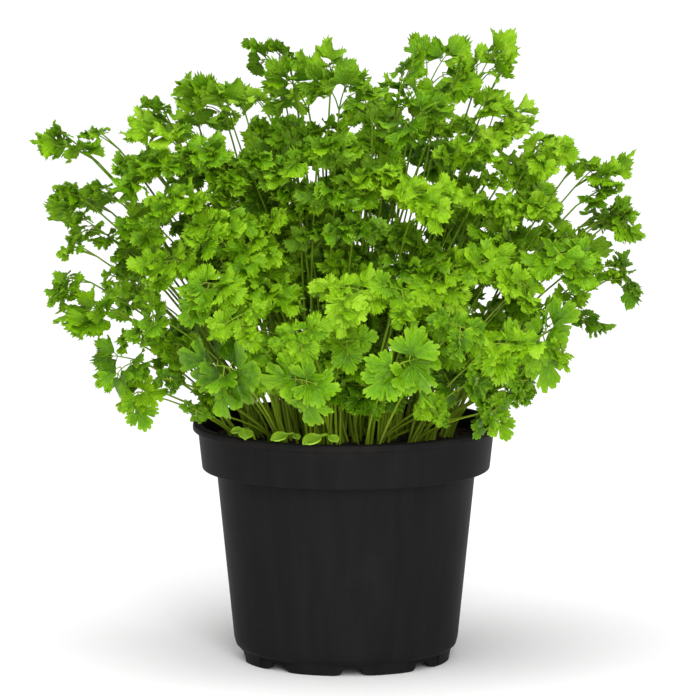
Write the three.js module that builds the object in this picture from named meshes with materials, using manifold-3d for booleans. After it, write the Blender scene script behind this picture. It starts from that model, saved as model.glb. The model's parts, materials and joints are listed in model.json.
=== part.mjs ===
// Potted curly parsley: young plants sown close together in a plain black nursery pot.
// Millimetres, Z up. The origin is on the pot's axis where it stands, and its front faces -Y.

import * as THREE from "three";
import { mergeVertices } from "three/addons/utils/BufferGeometryUtils.js";
import Module from "manifold-3d";

const wasm = await Module();
wasm.setup();

const up = new THREE.Vector3(0, 0, 1);
const degree = Math.PI / 180;
const smallestEdge = 0.03;

// Pot
const potHeight = 101.5;
const lipRadius = 65;
const lipHeight = 3;
const bandTopRadius = 62.8;
const bandFootRadius = 61;
const bandFootHeight = 82;
const bodyTopRadius = 55;
const bodyFootRadius = 47.6;
const bodyFootHeight = 9.4;
const footRadius = 44.2;
const footStepRadius = 45.1;
const footStepHeight = 5;
const footRingWidth = 3.2;
const wallThickness = 1.4;
const floorHeight = 3.6;
const potSides = 40;

// Drainage notches in the foot, and the drain holes in the floor
const notchCount = 8;
const notchTurn = 3.5 * degree;
const recessWidth = 20.5;
const recessHeight = 4.7;
const recessDepth = 1.2;
const archTopWidth = 8;
const archFootWidth = 16;
const archHeight = 3;
const drainRadius = 3.2;
const drainRing = 34;

// Soil
const soilHeight = 94;
const soilDome = 1.5;
const fitGap = 0.3;
const soilSides = 24;

// Parsley
const plantCount = 26;
const bedRadius = 47;
const leavesPerPlant = 5;
const crownRadius = 1.9;
const crownDepth = 7;
const crownRise = 2.5;
const crownSides = 5;
const stalkRadius = 1.1;
const stalkStep = 32;
const stalkTipShare = 0.7;
const bladeThickness = 0.7;
const hubThickness = 1.9;
const bladeWave = 1.4;
const bladeArch = { low: 0.3, high: 0.8 };
const bladeFullness = 1.2;
const clearance = 3.8;
const markSpacing = 4.5;
const attempts = 60;
const layoutSeed = 101;

// Dome of the bush: where leaves that the front view doesn't show end
const domeRadius = 105;
const domeMiddle = 170;
const domeHalfHeight = 96;
const goldenAngle = 137.508 * degree;

// Leaves that the front view shows: middle of the blade, its width, and how far it nods from its stalk
const shownLeaves = [
  // top
  { x: -31, y: 8, z: 261, span: 20, nod: 20 },
  { x: -53, y: 2, z: 241, span: 32, nod: 30 },
  { x: -76, y: -12, z: 232, span: 26, nod: 55 },
  { x: -20, y: -6, z: 249, span: 28, nod: 50 },
  { x: -3, y: -24, z: 249, span: 28, nod: 60 },
  { x: 11, y: 12, z: 241, span: 16, nod: 30 },
  { x: 26, y: 14, z: 254, span: 20, nod: 25 },
  { x: 42, y: -10, z: 250, span: 24, nod: 40 },
  { x: 59, y: 4, z: 257, span: 24, nod: 25 },
  { x: 58, y: -16, z: 243, span: 18, nod: 50 },
  { x: 30, y: -28, z: 240, span: 24, nod: 60 },
  { x: 14, y: 22, z: 224, span: 22, nod: 60 },
  { x: -28, y: 12, z: 223, span: 20, nod: 35 },
  // upper left
  { x: -59, y: -36, z: 223, span: 28, nod: 65 },
  { x: -83, y: -22, z: 214, span: 26, nod: 60 },
  { x: -44, y: -32, z: 215, span: 24, nod: 70 },
  { x: -24, y: -44, z: 215, span: 26, nod: 70 },
  { x: -70, y: -46, z: 204, span: 28, nod: 75 },
  { x: -55, y: -58, z: 193, span: 26, nod: 80 },
  { x: -36, y: -46, z: 192, span: 24, nod: 80 },
  { x: -82, y: -26, z: 191, span: 24, nod: 70 },
  // left side
  { x: -117, y: -6, z: 225, span: 24, nod: 35 },
  { x: -111, y: 6, z: 200, span: 26, nod: 60 },
  { x: -121, y: -8, z: 169, span: 22, nod: 60 },
  { x: -105, y: -26, z: 158, span: 26, nod: 75 },
  { x: -95, y: -34, z: 136, span: 22, nod: 90 },
  { x: -87, y: -38, z: 120, span: 22, nod: 100 },
  { x: -91, y: 18, z: 171, span: 22, nod: 60 },
  { x: -74, y: -52, z: 177, span: 28, nod: 80 },
  { x: -80, y: -54, z: 155, span: 26, nod: 85 },
  // lower left of the front
  { x: -56, y: -76, z: 171, span: 28, nod: 85 },
  { x: -45, y: -88, z: 159, span: 24, nod: 90 },
  { x: -50, y: -86, z: 138, span: 32, nod: 100 },
  { x: -70, y: -44, z: 141, span: 22, nod: 90 },
  // middle of the front
  { x: 9, y: -50, z: 214, span: 26, nod: 75 },
  { x: 30, y: -60, z: 207, span: 30, nod: 80 },
  { x: -14, y: -28, z: 197, span: 22, nod: 70 },
  { x: 2, y: -90, z: 171, span: 28, nod: 85 },
  { x: 24, y: -88, z: 168, span: 26, nod: 85 },
  { x: -19, y: -96, z: 153, span: 22, nod: 95 },
  { x: -18, y: -97, z: 134, span: 26, nod: 100 },
  { x: 0, y: -84, z: 148, span: 20, nod: 90 },
  { x: 23, y: -103, z: 142, span: 34, nod: 105 },
  // right of the front
  { x: 40, y: -66, z: 173, span: 26, nod: 85 },
  { x: 57, y: -58, z: 178, span: 26, nod: 80 },
  { x: 47, y: -90, z: 155, span: 24, nod: 90 },
  { x: 64, y: -20, z: 228, span: 24, nod: 60 },
  { x: 81, y: -12, z: 219, span: 26, nod: 60 },
  { x: 74, y: -26, z: 198, span: 28, nod: 70 },
  { x: 53, y: -42, z: 224, span: 22, nod: 70 },
  { x: 91, y: -36, z: 178, span: 30, nod: 70 },
  { x: 71, y: -58, z: 168, span: 26, nod: 85 },
  { x: 82, y: -50, z: 146, span: 30, nod: 90 },
  { x: 64, y: -70, z: 145, span: 26, nod: 95 },
  { x: 54, y: -76, z: 131, span: 22, nod: 100 },
  { x: 74, y: -46, z: 126, span: 16, nod: 100 },
  { x: 59, y: -36, z: 110, span: 17, nod: 120 },
  { x: 36, y: -70, z: 119, span: 14, nod: 100 },
  // right side
  { x: 107, y: 4, z: 212, span: 26, nod: 45 },
  { x: 110, y: 14, z: 192, span: 26, nod: 70 },
  { x: 121, y: -2, z: 191, span: 20, nod: 70 },
  { x: 123, y: -10, z: 170, span: 22, nod: 80 },
  { x: 101, y: -14, z: 156, span: 22, nod: 80 },
];

// Leaves of the rear half and the inside, which follow the dome
const rearLeafCount = 32;
const innerLeafCount = 5;

// Late seedlings at the front: degrees from the front towards +X, and the lengths of two seed leaves
const seedlings = [
  { turn: -45, lengths: [7, 11] },
  { turn: -22, lengths: [10, 6] },
  { turn: -8, lengths: [12, 8] },
];
const seedlingRing = 53;
const seedForkRing = 58.5;
const seedForkHeight = 104.8;
const seedLeafSpread = 42;
const seedLeafTilt = 4;
const seedLeafArch = 0.22;
const seedLeafThickness = 0.8;

// Colours
const colours = {
  pot: 0x1b1b1d,
  soil: 0x3a2219,
  leaf: 0x5f9f1c,
  darkLeaf: 0x4a8714,
  paleLeaf: 0x7db52c,
  seedLeaf: 0x86bd3a,
};

// A repeatable row of numbers between low and high
function makeDraw(seed) {
  let state = seed;
  return (low, high) => {
    state = (state * 48271) % 2147483647;
    return low + ((high - low) * state) / 2147483647;
  };
}

function toSolid(geometry) {
  const bare = geometry.clone();
  bare.deleteAttribute("normal");
  bare.deleteAttribute("uv");
  const merged = mergeVertices(bare, 1e-4);
  return new wasm.Manifold(
    new wasm.Mesh({
      numProp: 3,
      vertProperties: merged.attributes.position.array,
      triVerts: new Uint32Array(merged.index.array),
    }),
  );
}

function toGeometry(solid) {
  const mesh = solid.getMesh();
  const geometry = new THREE.BufferGeometry();
  geometry.setAttribute("position", new THREE.BufferAttribute(mesh.vertProperties, 3));
  geometry.setIndex(new THREE.BufferAttribute(mesh.triVerts, 1));
  geometry.computeVertexNormals();
  return geometry;
}

function makeMesh(name, solid, colour, roughness) {
  const material = new THREE.MeshStandardMaterial({
    color: colour,
    roughness,
    metalness: 0,
    flatShading: true,
    side: THREE.DoubleSide,
  });
  const mesh = new THREE.Mesh(toGeometry(solid), material);
  mesh.name = name;
  return mesh;
}

// A solid turned about the Z axis from an outline of [radius, height] points
function turned(points, sides) {
  const profile = points.map(([radius, height]) => new THREE.Vector2(radius, height));
  const lathe = new THREE.LatheGeometry(profile, sides);
  lathe.rotateX(Math.PI / 2);
  const solid = toSolid(lathe);
  return solid.volume() > 0 ? solid : toSolid(flipped(lathe));
}

function flipped(geometry) {
  const turnedOver = geometry.clone();
  const order = turnedOver.index.array;
  for (let i = 0; i < order.length; i += 3) {
    [order[i + 1], order[i + 2]] = [order[i + 2], order[i + 1]];
  }
  return turnedOver;
}

// Radius of the pot's inner wall at a height on its tapered body
function innerRadius(height) {
  const share = (height - bodyFootHeight) / (bandFootHeight - bodyFootHeight);
  return bodyFootRadius + (bodyTopRadius - bodyFootRadius) * share - wallThickness;
}

function buildPotShell() {
  const lipFoot = potHeight - lipHeight;
  const floorTop = floorHeight + wallThickness;
  const ledgeTop = bandFootHeight + wallThickness;
  return turned(
    [
      [0, floorHeight],
      [footRadius - footRingWidth, floorHeight],
      [footRadius - footRingWidth, 0],
      [footRadius, 0],
      [footStepRadius, footStepHeight],
      [bodyFootRadius - 0.8, footStepHeight + 1.5],
      [bodyFootRadius, bodyFootHeight],
      [bodyTopRadius, bandFootHeight],
      [bandFootRadius, bandFootHeight],
      [bandTopRadius, lipFoot],
      [lipRadius, lipFoot],
      [lipRadius, potHeight - 1],
      [lipRadius - 1, potHeight],
      [bandTopRadius - wallThickness, potHeight],
      [bandFootRadius - wallThickness, ledgeTop + 1],
      [bodyTopRadius - wallThickness, ledgeTop],
      [innerRadius(bodyFootHeight), bodyFootHeight],
      [footRadius - wallThickness, floorTop],
      [0, floorTop],
    ],
    potSides,
  );
}

// The recess in the foot's outer face, and the arch that opens it to the underside, at one side
function buildNotch(turn) {
  const reach = 10;
  const below = 1;
  const recess = new THREE.BoxGeometry(recessWidth, reach, recessHeight + below);
  recess.translate(0, -(footRadius - recessDepth) - reach / 2, (recessHeight - below) / 2);
  const halfTop = archTopWidth / 2;
  const halfFoot = archFootWidth / 2;
  const arch = new THREE.Shape();
  arch.moveTo(-halfFoot, -below);
  arch.lineTo(halfFoot, -below);
  arch.lineTo(halfFoot, 0);
  arch.quadraticCurveTo(halfTop, 0, halfTop, archHeight);
  arch.lineTo(-halfTop, archHeight);
  arch.quadraticCurveTo(-halfTop, 0, -halfFoot, 0);
  arch.closePath();
  const cut = new THREE.ExtrudeGeometry(arch, { depth: reach, bevelEnabled: false, curveSegments: 2 });
  cut.rotateX(Math.PI / 2);
  cut.translate(0, -footRadius + reach / 2 + 1, 0);
  recess.rotateZ(turn);
  cut.rotateZ(turn);
  return toSolid(recess).add(toSolid(cut));
}

function buildPot() {
  let pot = buildPotShell();
  const drill = new THREE.CylinderGeometry(drainRadius, drainRadius, 4 * wallThickness, 8);
  drill.rotateX(Math.PI / 2);
  for (let i = 0; i < notchCount; i += 1) {
    const turn = notchTurn + (i * 2 * Math.PI) / notchCount;
    pot = pot.subtract(buildNotch(turn));
    const drain = drill.clone();
    drain.translate(drainRing * Math.sin(turn), -drainRing * Math.cos(turn), floorHeight + wallThickness / 2);
    pot = pot.subtract(toSolid(drain));
  }
  return pot;
}

// Height of the soil's gently raised top at a distance from the axis
function soilTop(distance) {
  return soilHeight + soilDome * (1 - (distance / bodyTopRadius) ** 2);
}

function buildSoil(crowns) {
  const floorTop = floorHeight + wallThickness + fitGap;
  const ledgeTop = bandFootHeight + wallThickness + fitGap;
  const ledgeRise = 1.4;
  const edge = bandFootRadius - wallThickness - fitGap - 0.3;
  let soil = turned(
    [
      [0, floorTop],
      [footRadius - wallThickness - fitGap, floorTop],
      [innerRadius(bodyFootHeight) - fitGap, bodyFootHeight],
      [bodyTopRadius - wallThickness - fitGap, ledgeTop],
      [edge, ledgeTop + ledgeRise],
      [edge, soilTop(edge)],
      [bedRadius, soilTop(bedRadius)],
      [bedRadius / 2, soilTop(bedRadius / 2)],
      [0, soilTop(0)],
    ],
    soilSides,
  );
  for (const crown of crowns) {
    const radius = crown.radius + fitGap + 0.2;
    const depth = crown.depth + fitGap;
    const hole = new THREE.CylinderGeometry(radius, radius, depth + 10, crownSides);
    hole.rotateX(Math.PI / 2);
    hole.translate(crown.x, crown.y, crown.top - depth + (depth + 10) / 2);
    soil = soil.subtract(toSolid(hole));
  }
  return soil;
}

// Crowns of the plants on the bed, spread by the golden angle
function placeCrowns() {
  const crowns = [];
  for (let i = 0; i < plantCount; i += 1) {
    const distance = bedRadius * Math.sqrt((i + 0.5) / plantCount);
    const turn = i * goldenAngle;
    const x = distance * Math.cos(turn);
    const y = distance * Math.sin(turn);
    crowns.push({ x, y, top: soilTop(distance), radius: crownRadius, depth: crownDepth, leaves: [] });
  }
  return crowns;
}

// Radius of the bush's dome at a height
function domeRadiusAt(height) {
  const share = (height - domeMiddle) / domeHalfHeight;
  return domeRadius * Math.sqrt(Math.max(0.05, 1 - share * share));
}

// Places of the leaves behind the shown ones, and of the short ones inside the bush
function placeHiddenLeaves(draw) {
  const places = [];
  for (let i = 0; i < rearLeafCount; i += 1) {
    const share = (i + 0.5) / rearLeafCount;
    const z = 118 + 138 * share;
    const turn = (12 + 156 * ((i * 0.618034) % 1)) * degree;
    const distance = domeRadiusAt(z) * draw(0.86, 0.98);
    const x = distance * Math.cos(turn);
    const y = distance * Math.sin(turn);
    places.push({ x, y, z, span: draw(22, 30), nod: 95 - 45 * share });
  }
  for (let i = 0; i < innerLeafCount; i += 1) {
    const turn = i * goldenAngle;
    const distance = draw(20, 55);
    const z = draw(165, 215);
    places.push({ x: distance * Math.cos(turn), y: distance * Math.sin(turn), z, span: draw(20, 26), nod: 60 });
  }
  return places;
}

// The crown that a leaf grows from: the nearest to the foot of its lean that still has room
function chooseCrown(crowns, place) {
  const lean = 0.42;
  const distance = Math.sqrt(place.x * place.x + place.y * place.y);
  const share = Math.min(lean, bedRadius / Math.max(distance, 1));
  let best = null;
  let bestDistance = Infinity;
  for (const crown of crowns) {
    if (crown.leaves.length >= leavesPerPlant) continue;
    const dx = crown.x - place.x * share;
    const dy = crown.y - place.y * share;
    const apart = dx * dx + dy * dy;
    if (apart < bestDistance) {
      best = crown;
      bestDistance = apart;
    }
  }
  return best;
}

// A point on the stalk, which bows from the crown to the fork
function stalkPoint(leaf, share) {
  const rest = 1 - share;
  return new THREE.Vector3()
    .addScaledVector(leaf.foot, rest * rest)
    .addScaledVector(leaf.bow, 2 * rest * share)
    .addScaledVector(leaf.fork, share * share);
}

// One leaf's stalk and the axes of its blade: along, across and out of the face
function shapeLeaf(place, crown, draw, effort) {
  const shift = 5 * effort;
  const fork = new THREE.Vector3(
    place.x + draw(-shift, shift),
    place.y + draw(-shift, shift),
    place.z + draw(-shift, shift),
  );
  const foot = new THREE.Vector3(crown.x, crown.y, crown.top);
  const reach = fork.clone().sub(foot);
  const aside = new THREE.Vector3(-reach.y, reach.x, 0).normalize();
  const outward = new THREE.Vector3(reach.x, reach.y, 0).normalize();
  const bow = foot.clone();
  bow.addScaledVector(outward, 0.3 * Math.sqrt(reach.x * reach.x + reach.y * reach.y));
  bow.addScaledVector(up, 0.62 * reach.z);
  bow.addScaledVector(aside, draw(-12, 12) * (0.4 + effort));
  bow.addScaledVector(outward, draw(-6, 6) * effort);
  const rise = fork.clone().sub(bow).normalize();
  const turn = draw(-30, 30) * degree;
  const level = new THREE.Vector3().crossVectors(rise, up).normalize();
  const nod = (place.nod + draw(-14, 14)) * degree;
  const face = new THREE.Vector3().crossVectors(level, rise).normalize();
  const along = new THREE.Vector3();
  along.addScaledVector(rise, Math.cos(nod)).addScaledVector(face, -Math.sin(nod)).normalize();
  const out = new THREE.Vector3().crossVectors(level, along).normalize();
  const across = new THREE.Vector3();
  across.addScaledVector(level, Math.cos(turn)).addScaledVector(along, Math.sin(turn)).normalize();
  const ahead = new THREE.Vector3().crossVectors(out, across).normalize();
  const roll = draw(-32, 32) * degree;
  const rolled = new THREE.Vector3();
  rolled.addScaledVector(across, Math.cos(roll)).addScaledVector(out, Math.sin(roll)).normalize();
  const faced = new THREE.Vector3().crossVectors(rolled, ahead).normalize();
  const arch = draw(bladeArch.low, bladeArch.high);
  const phase = draw(0, 2 * Math.PI);
  const span = bladeFullness * place.span;
  const wave = bladeWave;
  return { foot, bow, fork, across: rolled, along: ahead, out: faced, span, arch, wave, phase };
}

// Points that a leaf fills, for keeping leaves clear of each other
function markLeaf(leaf) {
  const marks = [];
  const stalkMarks = Math.ceil(leaf.fork.distanceTo(leaf.foot) / markSpacing);
  for (let i = 1; i <= stalkMarks; i += 1) marks.push(stalkPoint(leaf, i / stalkMarks));
  for (const [u, v] of leaf.outline) marks.push(onBlade(leaf, u * leaf.span, v * leaf.span, 0));
  const corners = marks.slice(-leaf.outline.length);
  for (const [a, b, c] of leaf.triangles) {
    marks.push(corners[a].clone().add(corners[b]).add(corners[c]).divideScalar(3));
  }
  return marks;
}

// A point of the blade in space, from its place across and along the blade
function onBlade(leaf, across, along, thickness) {
  const distance = Math.sqrt(across * across + along * along);
  const turn = Math.atan2(along, across);
  const bend = (-leaf.arch * distance * distance) / leaf.span;
  const rise = Math.min(1, (2.4 * distance) / leaf.span);
  const wave = leaf.wave * rise * rise * Math.sin(9 * turn + leaf.phase);
  return leaf.fork
    .clone()
    .addScaledVector(leaf.across, across)
    .addScaledVector(leaf.along, along)
    .addScaledVector(leaf.out, bend + wave + thickness);
}

// Outline of a blade cut into three fans with three teeth each, for a blade one wide
const bladeOutline = outlineBlade();

function outlineBlade() {
  const neck = 0.045;
  const forkAt = 0.035;
  const fans = [
    { turn: 2, from: 0.14, radius: 0.42, neckAt: 0.1 },
    { turn: 90, from: 0.17, radius: 0.46, neckAt: 0.12 },
    { turn: 178, from: 0.14, radius: 0.42, neckAt: 0.1 },
  ];
  const outline = [[0, -0.09 - forkAt]];
  for (const fan of fans) {
    const direction = fan.turn * degree;
    const place = (reach, aside) => [
      reach * Math.cos(direction) - aside * Math.sin(direction),
      reach * Math.sin(direction) + aside * Math.cos(direction) - forkAt,
    ];
    outline.push(place(fan.neckAt, -neck));
    for (let i = 0; i < 5; i += 1) {
      const spread = (i - 2) * 31 * degree;
      const tooth = i % 2 === 0 ? 1 : 0.78;
      const reach = tooth * (fan.radius - 0.02 * Math.abs(i - 2));
      outline.push(place(fan.from + 0.84 * reach * Math.cos(spread), 0.62 * reach * Math.sin(spread)));
    }
    outline.push(place(fan.neckAt, neck));
  }
  return outline;
}

function isClear(leaf, grown) {
  for (const mark of leaf.marks) {
    const distance = Math.sqrt(mark.x * mark.x + mark.y * mark.y);
    if (mark.z < potHeight + 2 && distance > bandFootRadius - 5 && distance < lipRadius + 2) return false;
    const started = mark.distanceTo(leaf.foot) > 9;
    if (started && distance < lipRadius && mark.z < soilTop(distance) + 2) return false;
  }
  const nearSoil = 30;
  for (const other of grown) {
    const kin = other.crown === leaf.crown;
    for (const mark of leaf.marks) {
      if (kin && mark.z < leaf.foot.z + nearSoil) continue;
      for (const taken of other.marks) {
        const dx = mark.x - taken.x;
        const dy = mark.y - taken.y;
        const dz = mark.z - taken.z;
        if (dx * dx + dy * dy + dz * dz < clearance * clearance) return false;
      }
    }
  }
  return true;
}

// Every leaf of the bush, each on its plant, clear of the others
function growLeaves(crowns, sprouts) {
  const draw = makeDraw(layoutSeed);
  const grown = sprouts.flatMap((sprout) => sprout.leaves);
  const thicknesses = bladeOutline.map((_, i) => (hubCorners.includes(i) ? hubThickness : bladeThickness));
  for (const place of [...shownLeaves, ...placeHiddenLeaves(draw)]) {
    const crown = chooseCrown(crowns, place);
    for (let attempt = 0; attempt < attempts; attempt += 1) {
      const leaf = shapeLeaf(place, crown, draw, attempt / attempts);
      Object.assign(leaf, { crown, outline: bladeOutline, triangles: bladeTriangles, thicknesses });
      leaf.marks = markLeaf(leaf);
      if (isClear(leaf, grown)) {
        grown.push(leaf);
        crown.leaves.push(leaf);
        break;
      }
    }
  }
}

// A three-sided stalk that bows from the crown to a little past the fork
function buildStalk(leaf) {
  const section = new THREE.Shape();
  for (let i = 0; i < 3; i += 1) {
    const turn = (i * 2 * Math.PI) / 3;
    const x = stalkRadius * Math.cos(turn);
    const y = stalkRadius * Math.sin(turn);
    if (i === 0) section.moveTo(x, y);
    else section.lineTo(x, y);
  }
  section.closePath();
  const path = new THREE.QuadraticBezierCurve3(
    leaf.foot.clone().addScaledVector(up, 0.4),
    leaf.bow,
    leaf.fork,
  );
  const geometry = new THREE.ExtrudeGeometry(section, {
    extrudePath: path,
    steps: Math.max(3, Math.round(leaf.fork.distanceTo(leaf.foot) / stalkStep)),
    curveSegments: 1,
    bevelEnabled: false,
  });
  const position = geometry.attributes.position;
  const point = new THREE.Vector3();
  for (let i = 0; i < position.count; i += 1) {
    point.fromBufferAttribute(position, i);
    if (point.distanceTo(leaf.fork) > 1.1 * stalkRadius) continue;
    point.lerpVectors(leaf.fork, point, stalkTipShare);
    position.setXYZ(i, point.x, point.y, point.z);
  }
  return toSolid(geometry);
}

// Triangles of the blade's outline: three fans, each on its two neck points, and the hub between them
const fanPoints = 7;
const hubCorners = [0, 1, 7, 8, 14, 15, 21];
const bladeTriangles = triangulateBlade();

function triangulateBlade() {
  const triangles = [[0, 1, 21], [1, 7, 8], [1, 8, 14], [1, 14, 21], [14, 15, 21]];
  for (let fan = 0; fan < 3; fan += 1) {
    const first = 1 + fan * fanPoints;
    const last = first + fanPoints - 1;
    const tip = first + 3;
    triangles.push([first, first + 1, first + 2], [first, first + 2, tip], [first, tip, last]);
    triangles.push([last, tip, tip + 1], [last, tip + 1, tip + 2]);
  }
  return triangles;
}

// A thin arched blade, waved alike on both faces, with some corners of its outline thicker
function buildBlade(leaf, outline, triangles, thicknesses) {
  const corners = outline.length;
  const points = [];
  for (const face of [-0.5, 0.5]) {
    outline.forEach(([u, v], i) => {
      const point = onBlade(leaf, u * leaf.span, v * leaf.span, face * thicknesses[i]);
      points.push(point.x, point.y, point.z);
    });
  }
  const index = [];
  for (const [a, b, c] of triangles) {
    index.push(a + corners, b + corners, c + corners);
    index.push(a, c, b);
  }
  for (let i = 0; i < corners; i += 1) {
    const next = (i + 1) % corners;
    index.push(i, next, next + corners);
    index.push(i, next + corners, i + corners);
  }
  const geometry = new THREE.BufferGeometry();
  geometry.setAttribute("position", new THREE.Float32BufferAttribute(points, 3));
  geometry.setIndex(index);
  return toSolid(geometry);
}

// The heart that a plant's stalks grow from, standing in its hole in the soil
function buildHeart(crown) {
  const length = crown.depth + crownRise;
  const heart = new THREE.CylinderGeometry(crown.radius * 0.75, crown.radius, length, crownSides);
  heart.rotateX(Math.PI / 2);
  heart.translate(crown.x, crown.y, crown.top - crown.depth + length / 2);
  return toSolid(heart);
}

function buildPlant(crown) {
  let plant = buildHeart(crown);
  for (const leaf of crown.leaves) {
    plant = plant.add(buildStalk(leaf)).add(buildBlade(leaf, leaf.outline, leaf.triangles, leaf.thicknesses));
  }
  return plant.simplify(smallestEdge);
}

// Seed leaf: a smooth spoon, for a blade one long
const seedOutline = [
  [0, -0.06],
  [0.11, 0.12],
  [0.27, 0.45],
  [0.25, 0.78],
  [0, 1],
  [-0.25, 0.78],
  [-0.27, 0.45],
  [-0.11, 0.12],
];
const seedTriangles = [[0, 1, 7], [1, 2, 6], [1, 6, 7], [2, 3, 5], [2, 5, 6], [3, 4, 5]];

// Two seed leaves on one thin stem that leans over the pot's lip
function growSeedling({ turn, lengths }) {
  const outward = new THREE.Vector3(Math.sin(turn * degree), -Math.cos(turn * degree), 0);
  const foot = outward.clone().multiplyScalar(seedlingRing);
  foot.z = soilTop(seedlingRing);
  const crown = { x: foot.x, y: foot.y, top: foot.z, radius: 1.5, depth: 5, leaves: [] };
  const fork = outward.clone().multiplyScalar(seedForkRing).setZ(seedForkHeight);
  const bow = outward.clone().multiplyScalar(seedlingRing + 0.5).setZ(seedForkHeight - 1.5);
  lengths.forEach((length, side) => {
    const spread = (side === 0 ? -1 : 1) * seedLeafSpread * degree;
    const level = outward.clone().applyAxisAngle(up, spread);
    const across = new THREE.Vector3().crossVectors(level, up).normalize();
    const along = level.clone().applyAxisAngle(across, -seedLeafTilt * degree);
    const out = new THREE.Vector3().crossVectors(across, along).normalize();
    const leaf = { crown, foot, bow, fork, across, along, out, span: length };
    Object.assign(leaf, { arch: seedLeafArch, wave: 0, phase: 0 });
    leaf.outline = seedOutline;
    leaf.triangles = seedTriangles;
    leaf.thicknesses = seedOutline.map(() => seedLeafThickness);
    leaf.marks = markLeaf(leaf);
    crown.leaves.push(leaf);
  });
  return crown;
}

const crowns = placeCrowns();
const sprouts = seedlings.map(growSeedling);
growLeaves(crowns, sprouts);
const root = new THREE.Group();
root.add(makeMesh("pot", buildPot(), colours.pot, 0.45));
root.add(makeMesh("soil", buildSoil([...crowns, ...sprouts]), colours.soil, 0.95));
const leafColours = [colours.leaf, colours.darkLeaf, colours.paleLeaf];
crowns.forEach((crown, i) => {
  const name = "parsley_plant_" + String(i + 1).padStart(2, "0");
  root.add(makeMesh(name, buildPlant(crown), leafColours[i % 3], 0.6));
});
sprouts.forEach((sprout, i) => {
  root.add(makeMesh("seedling_" + (i + 1), buildPlant(sprout), colours.seedLeaf, 0.6));
});

export default root;
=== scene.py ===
# Potted curly parsley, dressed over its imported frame: nursery pot, soil, bushy plants and late seedlings.
# Metres, Z up, front towards -Y. Pot, soil and the layout of the bush are worked out in millimetres.
import json
import math

import bmesh
import bpy
import numpy as np
from mathutils import Matrix, Vector, noise

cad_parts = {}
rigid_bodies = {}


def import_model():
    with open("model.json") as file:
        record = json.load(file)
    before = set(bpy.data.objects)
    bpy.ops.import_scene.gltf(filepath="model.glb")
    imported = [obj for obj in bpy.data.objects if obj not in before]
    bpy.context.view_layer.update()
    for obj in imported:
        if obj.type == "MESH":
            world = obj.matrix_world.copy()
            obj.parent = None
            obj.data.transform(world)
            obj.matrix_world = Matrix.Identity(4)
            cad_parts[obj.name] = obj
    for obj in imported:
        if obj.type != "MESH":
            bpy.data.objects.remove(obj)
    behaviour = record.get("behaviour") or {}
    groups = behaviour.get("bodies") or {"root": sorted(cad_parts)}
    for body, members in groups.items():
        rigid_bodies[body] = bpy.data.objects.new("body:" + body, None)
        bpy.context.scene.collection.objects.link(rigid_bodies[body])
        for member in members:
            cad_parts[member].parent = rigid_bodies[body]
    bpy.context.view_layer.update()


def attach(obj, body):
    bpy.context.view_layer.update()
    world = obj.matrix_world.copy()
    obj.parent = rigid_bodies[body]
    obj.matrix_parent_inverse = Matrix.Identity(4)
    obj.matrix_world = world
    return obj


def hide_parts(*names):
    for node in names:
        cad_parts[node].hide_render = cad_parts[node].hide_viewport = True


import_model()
scene = bpy.context.scene
mm = 0.001
upward = np.array([0.0, 0.0, 1.0])

print("stage: camera and light")
camera = {
    "aim": (0.00085, 0.0, 0.133),
    "distance": 3.0,
    "elevation": 8.3,
    "frameWidth": 0.2948,
    "sensor": 36.0,
    "farthest": 60,
}
studio = {
    "floorSize": 16.0,
    "floorColour": (0.92, 0.92, 0.92, 1),
    "floorRoughness": 0.9,
    "skyColour": (1.0, 1.0, 1.0, 1),
    "skyStrength": 0.32,
    "sunPlace": (-0.15, -0.6, 2.0),
    "sunStrength": 3.0,
    "sunSpread": 75,
    # name: place, aim, width, height, power
    "lamps": {
        "frontLamp": ((0.4, -2.5, 0.8), (0, 0, 0.12), 0.8, 1.7, 50),
    },
}


def pointAt(thing, place, aim):
    thing.location = place
    thing.rotation_euler = (Vector(aim) - Vector(place)).to_track_quat("-Z", "Y").to_euler()


def makeCamera():
    rise = math.radians(camera["elevation"])
    aim = Vector(camera["aim"])
    away = Vector((0, -math.cos(rise), math.sin(rise))) * camera["distance"]
    lens = bpy.data.cameras.new("studioCamera")
    lens.sensor_width = camera["sensor"]
    lens.lens = camera["sensor"] * camera["distance"] / camera["frameWidth"]
    lens.clip_end = camera["farthest"]
    eye = bpy.data.objects.new("studioCamera", lens)
    scene.collection.objects.link(eye)
    pointAt(eye, aim + away, aim)
    scene.camera = eye


def makeLight():
    for name, (place, aim, width, height, power) in studio["lamps"].items():
        lamp = bpy.data.lights.new(name, "AREA")
        lamp.shape = "RECTANGLE"
        lamp.size = width
        lamp.size_y = height
        lamp.energy = power
        holder = bpy.data.objects.new(name, lamp)
        scene.collection.objects.link(holder)
        pointAt(holder, place, aim)
    sun = bpy.data.lights.new("softSun", "SUN")
    sun.energy = studio["sunStrength"]
    sun.angle = math.radians(studio["sunSpread"])
    holder = bpy.data.objects.new("softSun", sun)
    scene.collection.objects.link(holder)
    pointAt(holder, studio["sunPlace"], (0, 0, 0))
    world = bpy.data.worlds.new("studioSky")
    world.use_nodes = True
    sky = world.node_tree.nodes["Background"]
    sky.inputs["Color"].default_value = studio["skyColour"]
    sky.inputs["Strength"].default_value = studio["skyStrength"]
    scene.world = world
    scene.view_settings.view_transform = "Standard"


makeCamera()
makeLight()


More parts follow.
